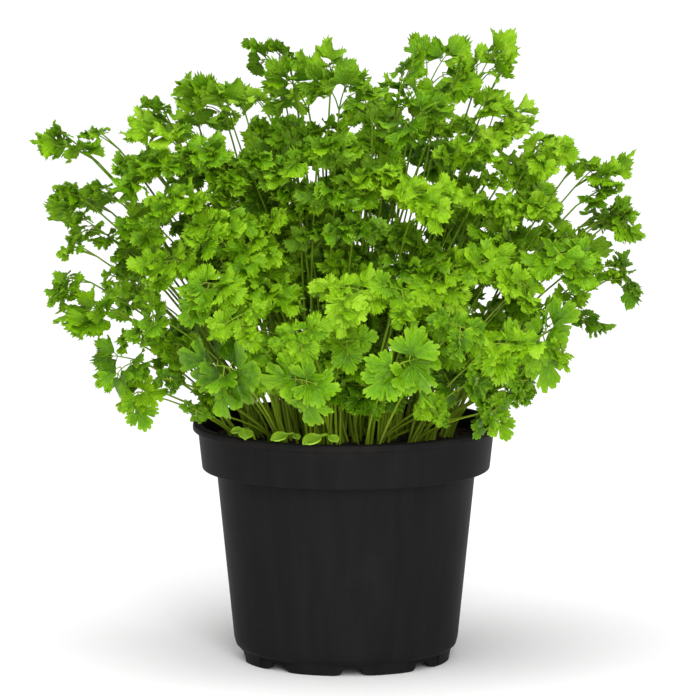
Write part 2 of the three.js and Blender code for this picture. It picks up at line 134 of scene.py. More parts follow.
class Wire:
    # A socket that takes part in Python arithmetic, which adds Math nodes
    def __init__(self, maker, socket):
        self.maker = maker
        self.socket = socket

    def math(self, operation, *others):
        values = dict(enumerate((self, *others)))
        return self.maker.node(self.maker.mathKind, {"operation": operation}, values)[0]

    def __add__(self, other):
        return self.math("ADD", other)

    def __mul__(self, other):
        return self.math("MULTIPLY", other)

    def __sub__(self, other):
        return self.math("SUBTRACT", other)

    def __rsub__(self, other):
        return self.maker.node(self.maker.mathKind, {"operation": "SUBTRACT"}, {0: other, 1: self})[0]

    def __truediv__(self, other):
        return self.math("DIVIDE", other)

    def __rtruediv__(self, other):
        return self.maker.node(self.maker.mathKind, {"operation": "DIVIDE"}, {0: other, 1: self})[0]

    __radd__ = __add__
    __rmul__ = __mul__

    def kept(self):
        # Between 0 and 1
        clamped = self.math("MULTIPLY_ADD", 1.0, 0.0)
        clamped.socket.node.use_clamp = True
        return clamped


class Made:
    # A node whose outputs are read by number or by name
    def __init__(self, maker, node):
        self.maker = maker
        self.node = node

    def __getitem__(self, key):
        return Wire(self.maker, self.node.outputs[key])


class Maker:
    # Adds nodes to a tree: kind, settings, then values or wires for its sockets by name or number
    mathKind = "ShaderNodeMath"

    def __init__(self, tree):
        self.tree = tree

    def node(self, kind, settings=None, sockets=None):
        made = self.tree.nodes.new(kind)
        for name, value in (settings or {}).items():
            if name == "stops":
                self.setStops(made.color_ramp, value)
            else:
                setattr(made, name, value)
        for key, value in (sockets or {}).items():
            if isinstance(value, Wire):
                self.tree.links.new(value.socket, made.inputs[key])
            else:
                made.inputs[key].default_value = value
        return Made(self, made)

    def setStops(self, ramp, stops):
        while len(ramp.elements) < len(stops):
            ramp.elements.new(1)
        for element, (place, colour) in zip(ramp.elements, stops):
            element.position = place
            element.color = (*colour, 1)

    def blend(self, share, first, second, way="MIX"):
        settings = {"data_type": "RGBA", "blend_type": way, "clamp_factor": True}
        return self.node("ShaderNodeMix", settings, {0: share, 6: first, 7: second})[2]

    def ramp(self, share, stops):
        return self.node("ShaderNodeValToRGB", {"stops": stops}, {0: share})["Color"]

    def speckle(self, place, size, detail=3.0, roughness=0.55):
        sockets = {"Vector": place, "Scale": 1 / size, "Detail": detail, "Roughness": roughness}
        return self.node("ShaderNodeTexNoise", None, sockets)["Fac"]

    def stretch(self, place, scale):
        return self.node("ShaderNodeMapping", None, {"Vector": place, "Scale": scale})[0]

    def scatter(self, points, shelf, turn, size, number=None):
        # A shape of the shelf on every point: the numbered one, or any
        sockets = {"Collection": shelf, "Separate Children": True}
        shapes = self.node("GeometryNodeCollectionInfo", None, sockets)[0]
        facing = self.node("FunctionNodeEulerToRotation", None, {0: turn})[0]
        sockets = {"Points": points, "Instance": shapes, "Pick Instance": True}
        sockets.update({"Rotation": facing, "Scale": size})
        if number:
            sockets["Instance Index"] = number
        return self.node("GeometryNodeInstanceOnPoints", None, sockets)[0]

    def attribute(self, name, kind):
        return self.node("GeometryNodeInputNamedAttribute", {"data_type": kind}, {"Name": name})[0]

    def coat(self, shape, finish):
        return self.node("GeometryNodeSetMaterial", None, {"Geometry": shape, "Material": finish})[0]


def startFinish(name):
    material = bpy.data.materials.new(name)
    material.use_nodes = True
    material.node_tree.nodes.clear()
    maker = Maker(material.node_tree)
    place = maker.node("ShaderNodeTexCoord")["Object"]
    return material, maker, place


def endFinish(maker, shader):
    maker.node("ShaderNodeOutputMaterial", None, {"Surface": shader})


def surface(maker, colour, roughness, relief, finish):
    height = {"Strength": finish["bump"], "Distance": finish["bumpDepth"], "Height": relief}
    sockets = {"Base Color": colour, "Roughness": roughness, "Specular IOR Level": finish["gloss"]}
    sockets["Normal"] = maker.node("ShaderNodeBump", None, height)[0]
    return maker.node("ShaderNodeBsdfPrincipled", None, sockets)[0]


def litThrough(maker, body, colour, share):
    glow = maker.node("ShaderNodeBsdfTranslucent", None, {"Color": colour})[0]
    return maker.node("ShaderNodeMixShader", None, {0: share, 1: body, 2: glow})[0]


def makeFloor():
    material, maker, _ = startFinish("floorFinish")
    sockets = {"Base Color": studio["floorColour"], "Roughness": studio["floorRoughness"]}
    endFinish(maker, maker.node("ShaderNodeBsdfPrincipled", None, sockets)[0])
    half = studio["floorSize"] / 2
    sheet = bpy.data.meshes.new("floor")
    corners = [(-half, -half, 0), (half, -half, 0), (half, half, 0), (-half, half, 0)]
    sheet.from_pydata(corners, [], [(0, 1, 2, 3)])
    sheet.materials.append(material)
    floor = bpy.data.objects.new("floor", sheet)
    scene.collection.objects.link(floor)


makeFloor()

print("stage: finishes")
leaflet = {
    # How many shapes, degrees to either side, teeth a lobe, steps a tooth, sinus, tooth depth, then the
    # ranges of droop, ruffle and pleat, and crispness
    "kinds": {
        "curly": (18, 98, 10, 2, 0.58, 0.13, (0.2, 1.2), (0.5, 1.1), (0.1, 0.5), 0.8),
        "flat": (8, 94, 4, 3, 0.4, 0.12, (0.1, 0.7), (0.2, 0.5), (0.1, 0.4), 0.25),
        "inner": (6, 98, 8, 2, 0.62, 0.15, (0.3, 1.2), (0.6, 1.2), (0.1, 0.4), 0.9),
        "wedge": (10, 56, 6, 2, 0.7, 0.12, (-0.1, 0.7), (0.4, 0.9), (0.1, 0.4), 0.85),
    },
    # share of the way over a tooth, and 1 at its tip or 0 in its notch
    "toothSteps": {3: ((0.26, 1), (0.74, 1), (1, 0)), 2: ((0.5, 1), (1, 0))},
    "sideLobes": (0.78, 0.92),
    "sideWidths": (0.9, 1.1),
    "middleWidth": (0.95, 1.2),
    "baseRadius": 0.36,
    "lobeRound": (0.24, 2.2),
    "toothTall": (0.94, 1.06),
    "toothDeep": (0.8, 1.25),
    "sinusPlay": (0.82, 1.15),
    "waves": (3.5, 6.5),
    "lifts": (-1.0, 1.4),
    "liftSmoothing": 0.62,
    "firstRise": 0.25,
    "curlPower": 5,
    "bendSteps": 6,
    "innerRings": (0.42, 0.78),
    "ringColumns": (6, 12),
    "thickness": 0.022,
    "probe": 0.05,
    "sharpAngle": 75,
    "veins": 9,
    "seed": 57,
}
leafTones = {
    "stops": [
        (0.0, (0.014, 0.046, 0.0002)),
        (0.25, (0.045, 0.14, 0.0004)),
        (0.5, (0.135, 0.33, 0.0007)),
        (0.75, (0.28, 0.54, 0.005)),
        (1.0, (0.5, 0.78, 0.05)),
    ],
    "vein": (0.5, 0.7, 0.12, 1),
    "under": (0.17, 0.31, 0.025, 1),
    "rim": (0.38, 0.62, 0.025, 1),
    "glow": (0.3, 0.66, 0.003, 1),
    "glowShare": 0.34,
    # sizes of the clouds, the grain and the blisters, in metres
    "cloud": 0.009,
    "grain": 0.0011,
    "blister": 0.0024,
    "rimStart": 0.82,
    "roughness": 0.24,
    "bump": 0.8,
    "bumpDepth": 0.0012,
    "gloss": 0.17,
}


def makeLeafFinish():
    # Tone and painted shade from the plant's own attribute, so lit leaves are painted lighter and shaded
    # ones darker; veins fan out along the leaflet's map
    material, maker, place = startFinish("leafFinish")
    tone = maker.node("ShaderNodeAttribute", {"attribute_name": "tone"})["Fac"]
    leafMap = maker.node("ShaderNodeUVMap", {"uv_map": "leafMap"})[0]
    parts = maker.node("ShaderNodeSeparateXYZ", None, {0: leafMap})
    reach = parts["Y"].math("ABSOLUTE")
    under = parts["Y"].math("LESS_THAN", -0.001)
    offVein = (parts["X"] * leaflet["veins"] + 0.5).math("PINGPONG", 0.5)
    vein = (1 - offVein * (3.2 + reach * 4)).kept() * (1 - reach * 0.75)
    cloud = maker.speckle(place, leafTones["cloud"], 4.0)
    grain = maker.speckle(place, leafTones["grain"], 2.0)
    # Painted light and shade: the attribute raises the level on high, outer leaves and lowers it on inner,
    # low, right and front ones, besides a random tone
    level = tone + (cloud - 0.5) * 0.5 + (grain - 0.5) * 0.3 + (reach - 0.5) * 0.22
    colour = maker.ramp(level.kept(), leafTones["stops"])
    colour = maker.blend(vein * 0.3, colour, leafTones["vein"])
    # The pale rim grows with the attribute, so it is partly painted light on lit leaves
    rim = ((reach - leafTones["rimStart"]) * 6).kept()
    colour = maker.blend(rim * 0.42 * (tone + 0.3).kept(), colour, leafTones["rim"])
    colour = maker.blend(under * 0.4, colour, leafTones["under"])
    relief = grain * 0.5 - vein * 0.6 + maker.speckle(place, leafTones["blister"], 2.0)
    rough = leafTones["roughness"] + grain * 0.16 + under * 0.24
    # The translucent share follows the same painted light and shade: more glow on lit leaves, less on shaded
    # ones
    share = leafTones["glowShare"] * (0.35 + tone * 0.9) * (1 - vein * 0.3)
    body = surface(maker, colour, rough, relief, leafTones)
    endFinish(maker, litThrough(maker, body, leafTones["glow"], share.kept()))
    return material


stalkTones = {
    "foot": (0.26, 0.4, 0.018, 1),
    "light": (0.42, 0.55, 0.07, 1),
    "middle": (0.16, 0.32, 0.006, 1),
    "top": (0.1, 0.2, 0.006, 1),
    "blush": (0.13, 0.13, 0.015, 1),
    "glow": (0.32, 0.5, 0.03, 1),
    "glowShare": 0.15,
    "footHeight": 0.1,
    "topHeight": 0.2,
    # sizes, and how much they are drawn out along the stalk
    "rib": (0.0009, 0.12),
    "patch": (0.008, 0.3),
    "roughness": 0.38,
    "bump": 0.4,
    "bumpDepth": 0.0003,
    "gloss": 0.16,
}


def makeStalkFinish():
    # Pale near the soil, greener above, with faint ribs along it
    material, maker, place = startFinish("stalkFinish")
    height = maker.node("ShaderNodeSeparateXYZ", None, {0: place})["Z"]
    greening = stalkTones["topHeight"] - stalkTones["footHeight"]
    rise = ((height - stalkTones["footHeight"]) / greening).kept()
    ribSize, ribStretch = stalkTones["rib"]
    patchSize, patchStretch = stalkTones["patch"]
    streak = maker.speckle(maker.stretch(place, (1, 1, ribStretch)), ribSize, 2.0)
    patch = maker.speckle(maker.stretch(place, (1, 1, patchStretch)), patchSize, 2.0)
    colour = maker.blend(rise, stalkTones["foot"], stalkTones["middle"])
    colour = maker.blend(((patch - 0.5) * 5).kept() * 0.55, colour, stalkTones["light"])
    colour = maker.blend((rise * patch * 1.3).kept(), colour, stalkTones["top"])
    colour = maker.blend(((patch - 0.52) * 3).kept() * 0.5, colour, stalkTones["blush"])
    colour = maker.blend(((streak - 0.45) * 2).kept() * 0.35, colour, stalkTones["foot"])
    body = surface(maker, colour, stalkTones["roughness"] + streak * 0.2, streak, stalkTones)
    endFinish(maker, litThrough(maker, body, stalkTones["glow"], stalkTones["glowShare"]))
    return material


seedLeafTones = {
    "stops": [(0.25, (0.27, 0.5, 0.015)), (0.75, (0.42, 0.7, 0.04))],
    "rib": (0.45, 0.65, 0.16, 1),
    "glowShare": 0.25,
    "cloud": 0.004,
    "grain": 0.0006,
    "roughness": 0.34,
    "bump": 0.25,
    "bumpDepth": 0.0003,
    "gloss": 0.5,
}


def makeSeedLeafFinish():
    # Smooth spoon leaves: plain yellow-green with one midrib
    material, maker, place = startFinish("seedLeafFinish")
    leafMap = maker.node("ShaderNodeUVMap", {"uv_map": "leafMap"})[0]
    parts = maker.node("ShaderNodeSeparateXYZ", None, {0: leafMap})
    rib = (1 - (parts["X"] - 0.5).math("ABSOLUTE") * 14).kept()
    cloud = maker.speckle(place, seedLeafTones["cloud"], 3.0)
    grain = maker.speckle(place, seedLeafTones["grain"], 2.0)
    colour = maker.ramp(cloud, seedLeafTones["stops"])
    colour = maker.blend(rib * 0.45, colour, seedLeafTones["rib"])
    rough = seedLeafTones["roughness"] + grain * 0.16
    body = surface(maker, colour, rough, grain * 0.4 - rib * 0.6, seedLeafTones)
    endFinish(maker, litThrough(maker, body, leafTones["glow"], seedLeafTones["glowShare"]))
    return material


potTones = {
    "stops": [(0.2, (0.0088, 0.0088, 0.0091)), (0.8, (0.0128, 0.0128, 0.0131))],
    "rubbed": (0.02, 0.02, 0.0205, 1),
    "dust": (0.05, 0.03, 0.02, 1),
    "dustHeight": 0.0985,
    "flow": (0.006, 0.08),
    "grain": 0.0007,
    "rub": 0.03,
    "roughness": 0.48,
    "bump": 0.22,
    "bumpDepth": 0.0003,
    "gloss": 0.02,
}


def makePotFinish():
    # Satin black moulded plastic: fine grain, faint flow streaks, rubbed patches and dust under the lip
    material, maker, place = startFinish("potPlasticFinish")
    height = maker.node("ShaderNodeSeparateXYZ", None, {0: place})["Z"]
    flowSize, flowStretch = potTones["flow"]
    flow = maker.speckle(maker.stretch(place, (1, 1, flowStretch)), flowSize, 3.0)
    grain = maker.speckle(place, potTones["grain"], 2.0)
    rub = maker.speckle(place, potTones["rub"], 4.0, 0.65)
    colour = maker.ramp(flow, potTones["stops"])
    colour = maker.blend(((rub - 0.55) * 3).kept() * 0.35, colour, potTones["rubbed"])
    underLip = (1 - (height - potTones["dustHeight"]).math("ABSOLUTE") * 260).kept()
    dust = underLip * ((rub - 0.35) * 2).kept()
    colour = maker.blend(dust * 0.25, colour, potTones["dust"])
    rough = potTones["roughness"] + (rub - 0.5) * 0.16 + (grain - 0.5) * 0.1
    endFinish(maker, surface(maker, colour, rough.kept(), grain * 0.5 + flow * 0.35, potTones))
    return material


soilTones = {
    "stops": [(0.25, (0.009, 0.0045, 0.003)), (0.6, (0.035, 0.015, 0.009)), (0.85, (0.08, 0.035, 0.02))],
    "fibre": (0.16, 0.085, 0.045, 1),
    "clod": 0.006,
    "grit": 0.0012,
    "fibreSize": 0.002,
    "fibreStretch": (1, 0.2, 0.6),
    "roughness": 0.82,
    "bump": 0.8,
    "bumpDepth": 0.0012,
    "gloss": 0.5,
}


def makeSoilFinish():
    # Dark reddish brown peat with paler fibres
    material, maker, place = startFinish("soilFinish")
    clod = maker.speckle(place, soilTones["clod"], 5.0, 0.7)
    grit = maker.speckle(place, soilTones["grit"], 3.0)
    fibre = maker.speckle(maker.stretch(place, soilTones["fibreStretch"]), soilTones["fibreSize"], 2.0)
    colour = maker.ramp(clod, soilTones["stops"])
    colour = maker.blend(((fibre - 0.66) * 8).kept() * 0.6, colour, soilTones["fibre"])
    rough = soilTones["roughness"] + (grit - 0.5) * 0.3
    endFinish(maker, surface(maker, colour, rough, clod + grit * 0.6, soilTones))
    return material


leafFinish = makeLeafFinish()
stalkFinish = makeStalkFinish()
seedLeafFinish = makeSeedLeafFinish()
potFinish = makePotFinish()
soilFinish = makeSoilFinish()


def addObject(name, mesh, *materials):
    piece = bpy.data.objects.new(name, mesh)
    scene.collection.objects.link(piece)
    for material in materials:
        mesh.materials.append(material)
    return piece


def applied(piece):
    # The evaluated result as a plain mesh, with the modifiers gone
    bpy.context.view_layer.update()
    made = bpy.data.meshes.new_from_object(piece.evaluated_get(bpy.context.evaluated_depsgraph_get()))
    piece.modifiers.clear()
    piece.data = made
    made.name = piece.name
    return made


def dress(piece, node):
    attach(piece, "root")
    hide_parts(node)


print("stage: pot")
pot = {
    "sides": 160,
    "round": 3,
    # radius, height, rounding of the corner, all in millimetres
    "profile": [
        (0, 3.6, 0),
        (41.0, 3.6, 0.4),
        (41.0, 0, 0.4),
        (44.2, 0, 0.5),
        (45.1, 5, 0.5),
        (46.8, 6.5, 0.6),
        (47.6, 9.4, 0.8),
        (55, 82, 0.6),
        (61, 82, 0.7),
        (62.8, 98.5, 0.3),
        (65, 98.5, 0.5),
        (65, 101.5, 1.2),
        (61.4, 101.5, 0.8),
        (59.6, 84.4, 0.6),
        (53.6, 83.4, 0.6),
        (46.2, 9.4, 0.8),
        (42.8, 5, 0.8),
        (0, 5, 0),
    ],
    "notches": 8,
    "notchTurn": 3.5,
    # width, height, depth
    "recess": (20.5, 4.7, 1.2),
    # width at the top, width at the foot, height
    "arch": (8.0, 16.0, 3.0),
    "archSteps": 6,
    "footRadius": 44.2,
    "cutterDepth": 10.0,
    # how far the arch's cutter reaches outside and inside the foot's radius
    "cutterReach": (4.0, 6.0),
    "drainRadius": 3.2,
    "drainRing": 34.0,
    "drainMiddle": 4.3,
    "drainDepth": 5.0,
    "drainSides": 24,
    "sharpAngle": 32,
}


def roundedProfile(corners, steps):
    path = []
    for i, (radius, height, rounding) in enumerate(corners):
        here = Vector((radius, height))
        if rounding == 0:
            path.append(here)
            continue
        before = Vector(corners[i - 1][:2]) - here
        after = Vector(corners[i + 1][:2]) - here
        cut = min(rounding, 0.4 * before.length, 0.4 * after.length)
        first = here + before.normalized() * cut
        last = here + after.normalized() * cut
        for k in range(steps + 1):
            share = k / steps
            path.append((1 - share) ** 2 * first + 2 * share * (1 - share) * here + share**2 * last)
    return path


def closedMesh(shape, name):
    # Ends a bmesh as a new mesh that faces outwards
    bmesh.ops.recalc_face_normals(shape, faces=shape.faces)
    mesh = bpy.data.meshes.new(name)
    shape.to_mesh(mesh)
    shape.free()
    return mesh


def revolve(name, path, sides):
    # Closed mesh turned about the axis; path points on the axis become poles
    shape = bmesh.new()
    rings = []
    turns = [2 * math.pi * k / sides for k in range(sides)]
    for radius, height in path:
        if radius == 0:
            rings.append([shape.verts.new((0, 0, height * mm))])
            continue
        places = [(radius * mm * math.cos(t), radius * mm * math.sin(t), height * mm) for t in turns]
        rings.append([shape.verts.new(place) for place in places])
    for low, high in zip(rings, rings[1:]):
        for k in range(sides):
            corners = [low[k % len(low)], low[(k + 1) % sides % len(low)]]
            corners += [high[(k + 1) % sides % len(high)], high[k % len(high)]]
            shape.faces.new(list(dict.fromkeys(corners)))
    return closedMesh(shape, name)


def makeNotchCutters():
    # Recess in the foot's face, arch through the foot ring, and drain hole, for every side
    shape = bmesh.new()
    width, height, depth = pot["recess"]
    topWidth, footWidth, archHeight = pot["arch"]
    footRadius, deep = pot["footRadius"], pot["cutterDepth"]
    outside, inside = pot["cutterReach"]
    flank = []
    for k in range(pot["archSteps"] + 1):
        share = k / pot["archSteps"]
        across = (1 - share) ** 2 * footWidth / 2 + (1 - (1 - share) ** 2) * topWidth / 2
        flank.append((across, archHeight * share**2))
    outline = [(-footWidth / 2, -1), (footWidth / 2, -1)] + flank + [(-x, z) for x, z in reversed(flank)]
    for i in range(pot["notches"]):
        turn = math.radians(pot["notchTurn"] + i * 360 / pot["notches"])
        spin = Matrix.Rotation(turn, 4, "Z")
        size = Matrix.Diagonal((width * mm, deep * mm, (height + 1) * mm, 1))
        middle = Matrix.Translation((0, -(footRadius - depth + deep / 2) * mm, (height - 1) / 2 * mm))
        bmesh.ops.create_cube(shape, size=1, matrix=spin @ middle @ size)
        sides = []
        for y in (-footRadius - outside, -footRadius + inside):
            places = [spin @ Vector((x * mm, y * mm, z * mm)) for x, z in outline]
            sides.append([shape.verts.new(place) for place in places])
        shape.faces.new(sides[0])
        shape.faces.new(sides[1][::-1])
        for k in range(len(outline)):
            after = (k + 1) % len(outline)
            shape.faces.new((sides[0][k], sides[1][k], sides[1][after], sides[0][after]))
        drain = Matrix.Translation((0, -pot["drainRing"] * mm, pot["drainMiddle"] * mm))
        radius = pot["drainRadius"] * mm
        cone = {"segments": pot["drainSides"], "radius1": radius, "radius2": radius}
        cone["depth"] = pot["drainDepth"] * mm
        bmesh.ops.create_cone(shape, cap_ends=True, matrix=spin @ drain, **cone)
    return addObject("notchCutters", closedMesh(shape, "notchCutters"))


def makePot():
    mesh = revolve("nurseryPot", roundedProfile(pot["profile"], pot["round"]), pot["sides"])
    piece = addObject("nurseryPot", mesh, potFinish)
    cutters = makeNotchCutters()
    cut = piece.modifiers.new("notches", "BOOLEAN")
    cut.operation = "DIFFERENCE"
    cut.object = cutters
    cut.solver = "EXACT"
    cut.use_self = True
    made = applied(piece)
    bpy.data.objects.remove(cutters)
    made.shade_smooth()
    made.set_sharp_from_angle(angle=math.radians(pot["sharpAngle"]))
    dress(piece, "pot")


makePot()

print("stage: soil")
soil = {
    "top": 94.0,
    "rise": 1.5,
    "riseRadius": 55.0,
    "edge": 59.0,
    # radius and height of the filling's underside, up the pot's wall
    "underside": [(0, 5.4), (42.4, 5.4), (45.8, 9.4), (53.2, 83.9)],
    "wallTop": 85.3,
    "edgeRound": (0.2, 1.2),
    "lumps": (110, 1.3),
    "grains": (620, 0.35),
    "sink": 0.3,
    "rings": 34,
    "sides": 120,
    "crumbs": 1500,
    "crumbSize": (0.5, 2.1),
    "crumbEdges": (0.7, 1.2),
    # how many, length and thickness
    "roundCrumbs": (4, 1.0, 0.7),
    "slivers": (2, 2.6, 0.35),
    "upright": 0.5,
    "sharpAngle": 50,
    "seed": 23,
}


def soilTop(distance):
    return soil["top"] + soil["rise"] * (1 - (distance / soil["riseRadius"]) ** 2)


def makeDraw(seed):
    # A repeatable row of numbers between low and high
    state = [seed]

    def draw(low, high):
        state[0] = state[0] * 48271 % 2147483647
        return low + (high - low) * state[0] / 2147483647

    return draw


def makeCrumbs(draw):
    # A few angular crumbs and bark slivers, which the soil's tree scatters
    shelf = bpy.data.collections.new("crumbShelf")
    for count, long, thick in (soil["roundCrumbs"], soil["slivers"]):
        for _ in range(count):
            shape = bmesh.new()
            bmesh.ops.create_icosphere(shape, subdivisions=1, radius=0.5)
            for corner in shape.verts:
                corner.co *= draw(*soil["crumbEdges"])
                corner.co.x *= long
                corner.co.z *= thick
            mesh = bpy.data.meshes.new("crumb")
            shape.to_mesh(mesh)
            shape.free()
            shelf.objects.link(bpy.data.objects.new("crumb_%d" % len(shelf.objects), mesh))
    return shelf


def emptyShelf(shelf):
    for thing in list(shelf.objects):
        bpy.data.objects.remove(thing)
    bpy.data.collections.remove(shelf)


def startTree(name, inputs):
    tree = bpy.data.node_groups.new(name, "GeometryNodeTree")
    tree.interface.new_socket("Geometry", in_out="INPUT", socket_type="NodeSocketGeometry")
    tree.interface.new_socket("Geometry", in_out="OUTPUT", socket_type="NodeSocketGeometry")
    for label, kind in inputs.items():
        tree.interface.new_socket(label, in_out="INPUT", socket_type="NodeSocket" + kind)
    maker = Maker(tree)
    return tree, maker, maker.node("NodeGroupInput")


def addTree(piece, tree, values):
    # Inputs are set by the socket's identifier
    modifier = piece.modifiers.new(tree.name, "NODES")
    modifier.node_group = tree
    for item in tree.interface.items_tree:
        if item.in_out == "INPUT" and item.name in values:
            modifier[item.identifier] = values[item.name]


def makeCrumbTree():
    inputs = {"Crumbs": "Collection", "Density": "Float", "Smallest": "Float", "Largest": "Float"}
    inputs.update({"Seed": "Int", "Finish": "Material"})
    tree, maker, given = startTree("crumbScatter", inputs)
    normal = maker.node("GeometryNodeInputNormal")[0]
    rise = maker.node("ShaderNodeSeparateXYZ", None, {0: normal})["Z"]
    upright = rise.math("GREATER_THAN", soil["upright"])
    sockets = {"Mesh": given["Geometry"], "Selection": upright}
    sockets.update({"Density": given["Density"], "Seed": given["Seed"]})
    points = maker.node("GeometryNodeDistributePointsOnFaces", None, sockets)["Points"]
    sockets = {0: (0, 0, 0), 1: (6.28, 6.28, 6.28), "Seed": given["Seed"]}
    turn = maker.node("FunctionNodeRandomValue", {"data_type": "FLOAT_VECTOR"}, sockets)[0]
    sockets = {2: given["Smallest"], 3: given["Largest"], "Seed": given["Seed"]}
    size = maker.node("FunctionNodeRandomValue", {"data_type": "FLOAT"}, sockets)[1]
    placed = maker.scatter(points, given["Crumbs"], turn, size)
    joined = maker.node("GeometryNodeJoinGeometry", None, {0: placed})
    tree.links.new(given["Geometry"].socket, joined.node.inputs[0])
    real = maker.node("GeometryNodeRealizeInstances", None, {0: joined[0]})[0]
    maker.node("NodeGroupOutput", None, {0: maker.coat(real, given["Finish"])})
    return tree


def makeSoil():
    draw = makeDraw(soil["seed"])
    edge = soil["edge"]
    inset, drop = soil["edgeRound"]
    path = [*soil["underside"], (edge - inset, soil["wallTop"]), (edge, soilTop(edge) - drop)]
    count = soil["rings"]
    path += [(edge * k / count, soilTop(edge * k / count)) for k in range(count, 0, -1)] + [(0, soilTop(0))]
    mesh = revolve("pottingSoil", path, soil["sides"])
    (lumpScale, lumpHeight), (grainScale, grainHeight) = soil["lumps"], soil["grains"]
    for corner in mesh.vertices:
        distance = math.hypot(corner.co.x, corner.co.y) / mm
        if corner.co.z / mm < soilTop(distance) - 0.5 or distance > edge - 0.1:
            continue
        lump = noise.fractal(corner.co * lumpScale, 1.0, 2.1, 3) * lumpHeight
        grain = noise.noise(corner.co * grainScale) * grainHeight
        corner.co.z += (lump + grain - soil["sink"]) * mm
    piece = addObject("pottingSoil", mesh, soilFinish)
    shelf = makeCrumbs(draw)
    area = math.pi * (edge * mm) ** 2
    values = {"Crumbs": shelf, "Density": soil["crumbs"] / area, "Seed": soil["seed"], "Finish": soilFinish}
    values["Smallest"], values["Largest"] = [size * mm for size in soil["crumbSize"]]
    addTree(piece, makeCrumbTree(), values)
    made = applied(piece)
    emptyShelf(shelf)
    made.shade_smooth()
    made.set_sharp_from_angle(angle=math.radians(soil["sharpAngle"]))
    dress(piece, "soil")


makeSoil()

print("stage: layout of the bush")
bush = {
    "plants": 26,
    "bedRadius": 47.0,
    "leavesEach": 5,
    "attempts": 60,
    "seed": 101,
    "clearance": 3.8,
    "markSpacing": 4.5,
    "lean": 0.42,
    "domeRadius": 105.0,
    "domeMiddle": 170.0,
    "domeHalfHeight": 96.0,
    "goldenAngle": 137.508,
    "goldenShare": 0.618034,
    # hidden leaves: how many, ranges of height, turn or ring, width, and nod
    "rearLeaves": 32,
    "rearHeight": (118, 138),
    "rearTurn": (12, 156),
    "rearRing": (0.86, 0.98),
    "rearWidth": (22, 30),
    "rearNod": (95, 45),
    "innerLeaves": 5,
    "innerRing": (20, 55),
    "innerHeight": (165, 215),
    "innerWidth": (20, 26),
    "innerNod": 60,
    "fullness": 1.2,
    "wave": 1.4,
    "waves": 9,
    "arch": (0.3, 0.8),
    # how far a stalk bows out and up, and the play of its place, bow, turn, nod and roll
    "bow": (0.3, 0.62),
    "placePlay": 5,
    "bowPlay": (12, 6),
    "turnPlay": 30,
    "nodPlay": 14,
    "rollPlay": 32,
    # room that a leaf leaves at the lip, over the soil and beside its own plant's crown
    "lipHeight": 101.5,
    "lipRadius": 65.0,
    "bandRadius": 61.0,
    "lipRoom": (5, 2),
    "soilRoom": 2,
    "footLength": 9,
    "crownHeight": 30,
}

# Middle of each leaf that the front view shows, its width, and how far it nods from its stalk
shownLeaves = [
    # top
    (-31, 8, 261, 20, 20), (-53, 2, 241, 32, 30), (-76, -12, 232, 26, 55), (-20, -6, 249, 28, 50),
    (-3, -24, 249, 28, 60), (11, 12, 241, 16, 30), (26, 14, 254, 20, 25), (42, -10, 250, 24, 40),
    (59, 4, 257, 24, 25), (58, -16, 243, 18, 50), (30, -28, 240, 24, 60), (14, 22, 224, 22, 60),
    (-28, 12, 223, 20, 35),
    # upper left
    (-59, -36, 223, 28, 65), (-83, -22, 214, 26, 60), (-44, -32, 215, 24, 70), (-24, -44, 215, 26, 70),
    (-70, -46, 204, 28, 75), (-55, -58, 193, 26, 80), (-36, -46, 192, 24, 80), (-82, -26, 191, 24, 70),
    # left side
    (-117, -6, 225, 24, 35), (-111, 6, 200, 26, 60), (-121, -8, 169, 22, 60), (-105, -26, 158, 26, 75),
    (-95, -34, 136, 22, 90), (-87, -38, 120, 22, 100), (-91, 18, 171, 22, 60), (-74, -52, 177, 28, 80),
    (-80, -54, 155, 26, 85),
    # lower left of the front
    (-56, -76, 171, 28, 85), (-45, -88, 159, 24, 90), (-50, -86, 138, 32, 100), (-70, -44, 141, 22, 90),
    # middle of the front
    (9, -50, 214, 26, 75), (30, -60, 207, 30, 80), (-14, -28, 197, 22, 70), (2, -90, 171, 28, 85),
    (24, -88, 168, 26, 85), (-19, -96, 153, 22, 95), (-18, -97, 134, 26, 100), (0, -84, 148, 20, 90),
    (23, -103, 142, 34, 105),
    # right of the front
    (40, -66, 173, 26, 85), (57, -58, 178, 26, 80), (47, -90, 155, 24, 90), (64, -20, 228, 24, 60),
    (81, -12, 219, 26, 60), (74, -26, 198, 28, 70), (53, -42, 224, 22, 70), (91, -36, 178, 30, 70),
    (71, -58, 168, 26, 85), (82, -50, 146, 30, 90), (64, -70, 145, 26, 95), (54, -76, 131, 22, 100),
    (74, -46, 126, 16, 100), (59, -36, 110, 17, 120), (36, -70, 119, 14, 100),
    # right side
    (107, 4, 212, 26, 45), (110, 14, 192, 26, 70), (121, -2, 191, 20, 70), (123, -10, 170, 22, 80),
    (101, -14, 156, 22, 80),
]

seedlings = {
    # degrees from the front towards +X, and the lengths of the two seed leaves
    "each": [(-45, (7, 11)), (-22, (10, 6)), (-8, (12, 8))],
    "ring": 53.0,
    "forkRing": 58.5,
    "forkHeight": 104.8,
    "spread": 42.0,
    "tilt": 4.0,
    "arch": 0.22,
    # how far the stem bows outwards, and how far under its fork
    "bow": (0.5, 1.5),
    "outline": [
        (0, -0.06), (0.11, 0.12), (0.27, 0.45), (0.25, 0.78), (0, 1), (-0.25, 0.78), (-0.27, 0.45),
        (-0.11, 0.12),
    ],
    "triangles": [(0, 1, 7), (1, 2, 6), (1, 6, 7), (2, 3, 5), (2, 5, 6), (3, 4, 5)],
}


def unit(vector):
    return vector / math.sqrt(float(vector @ vector))


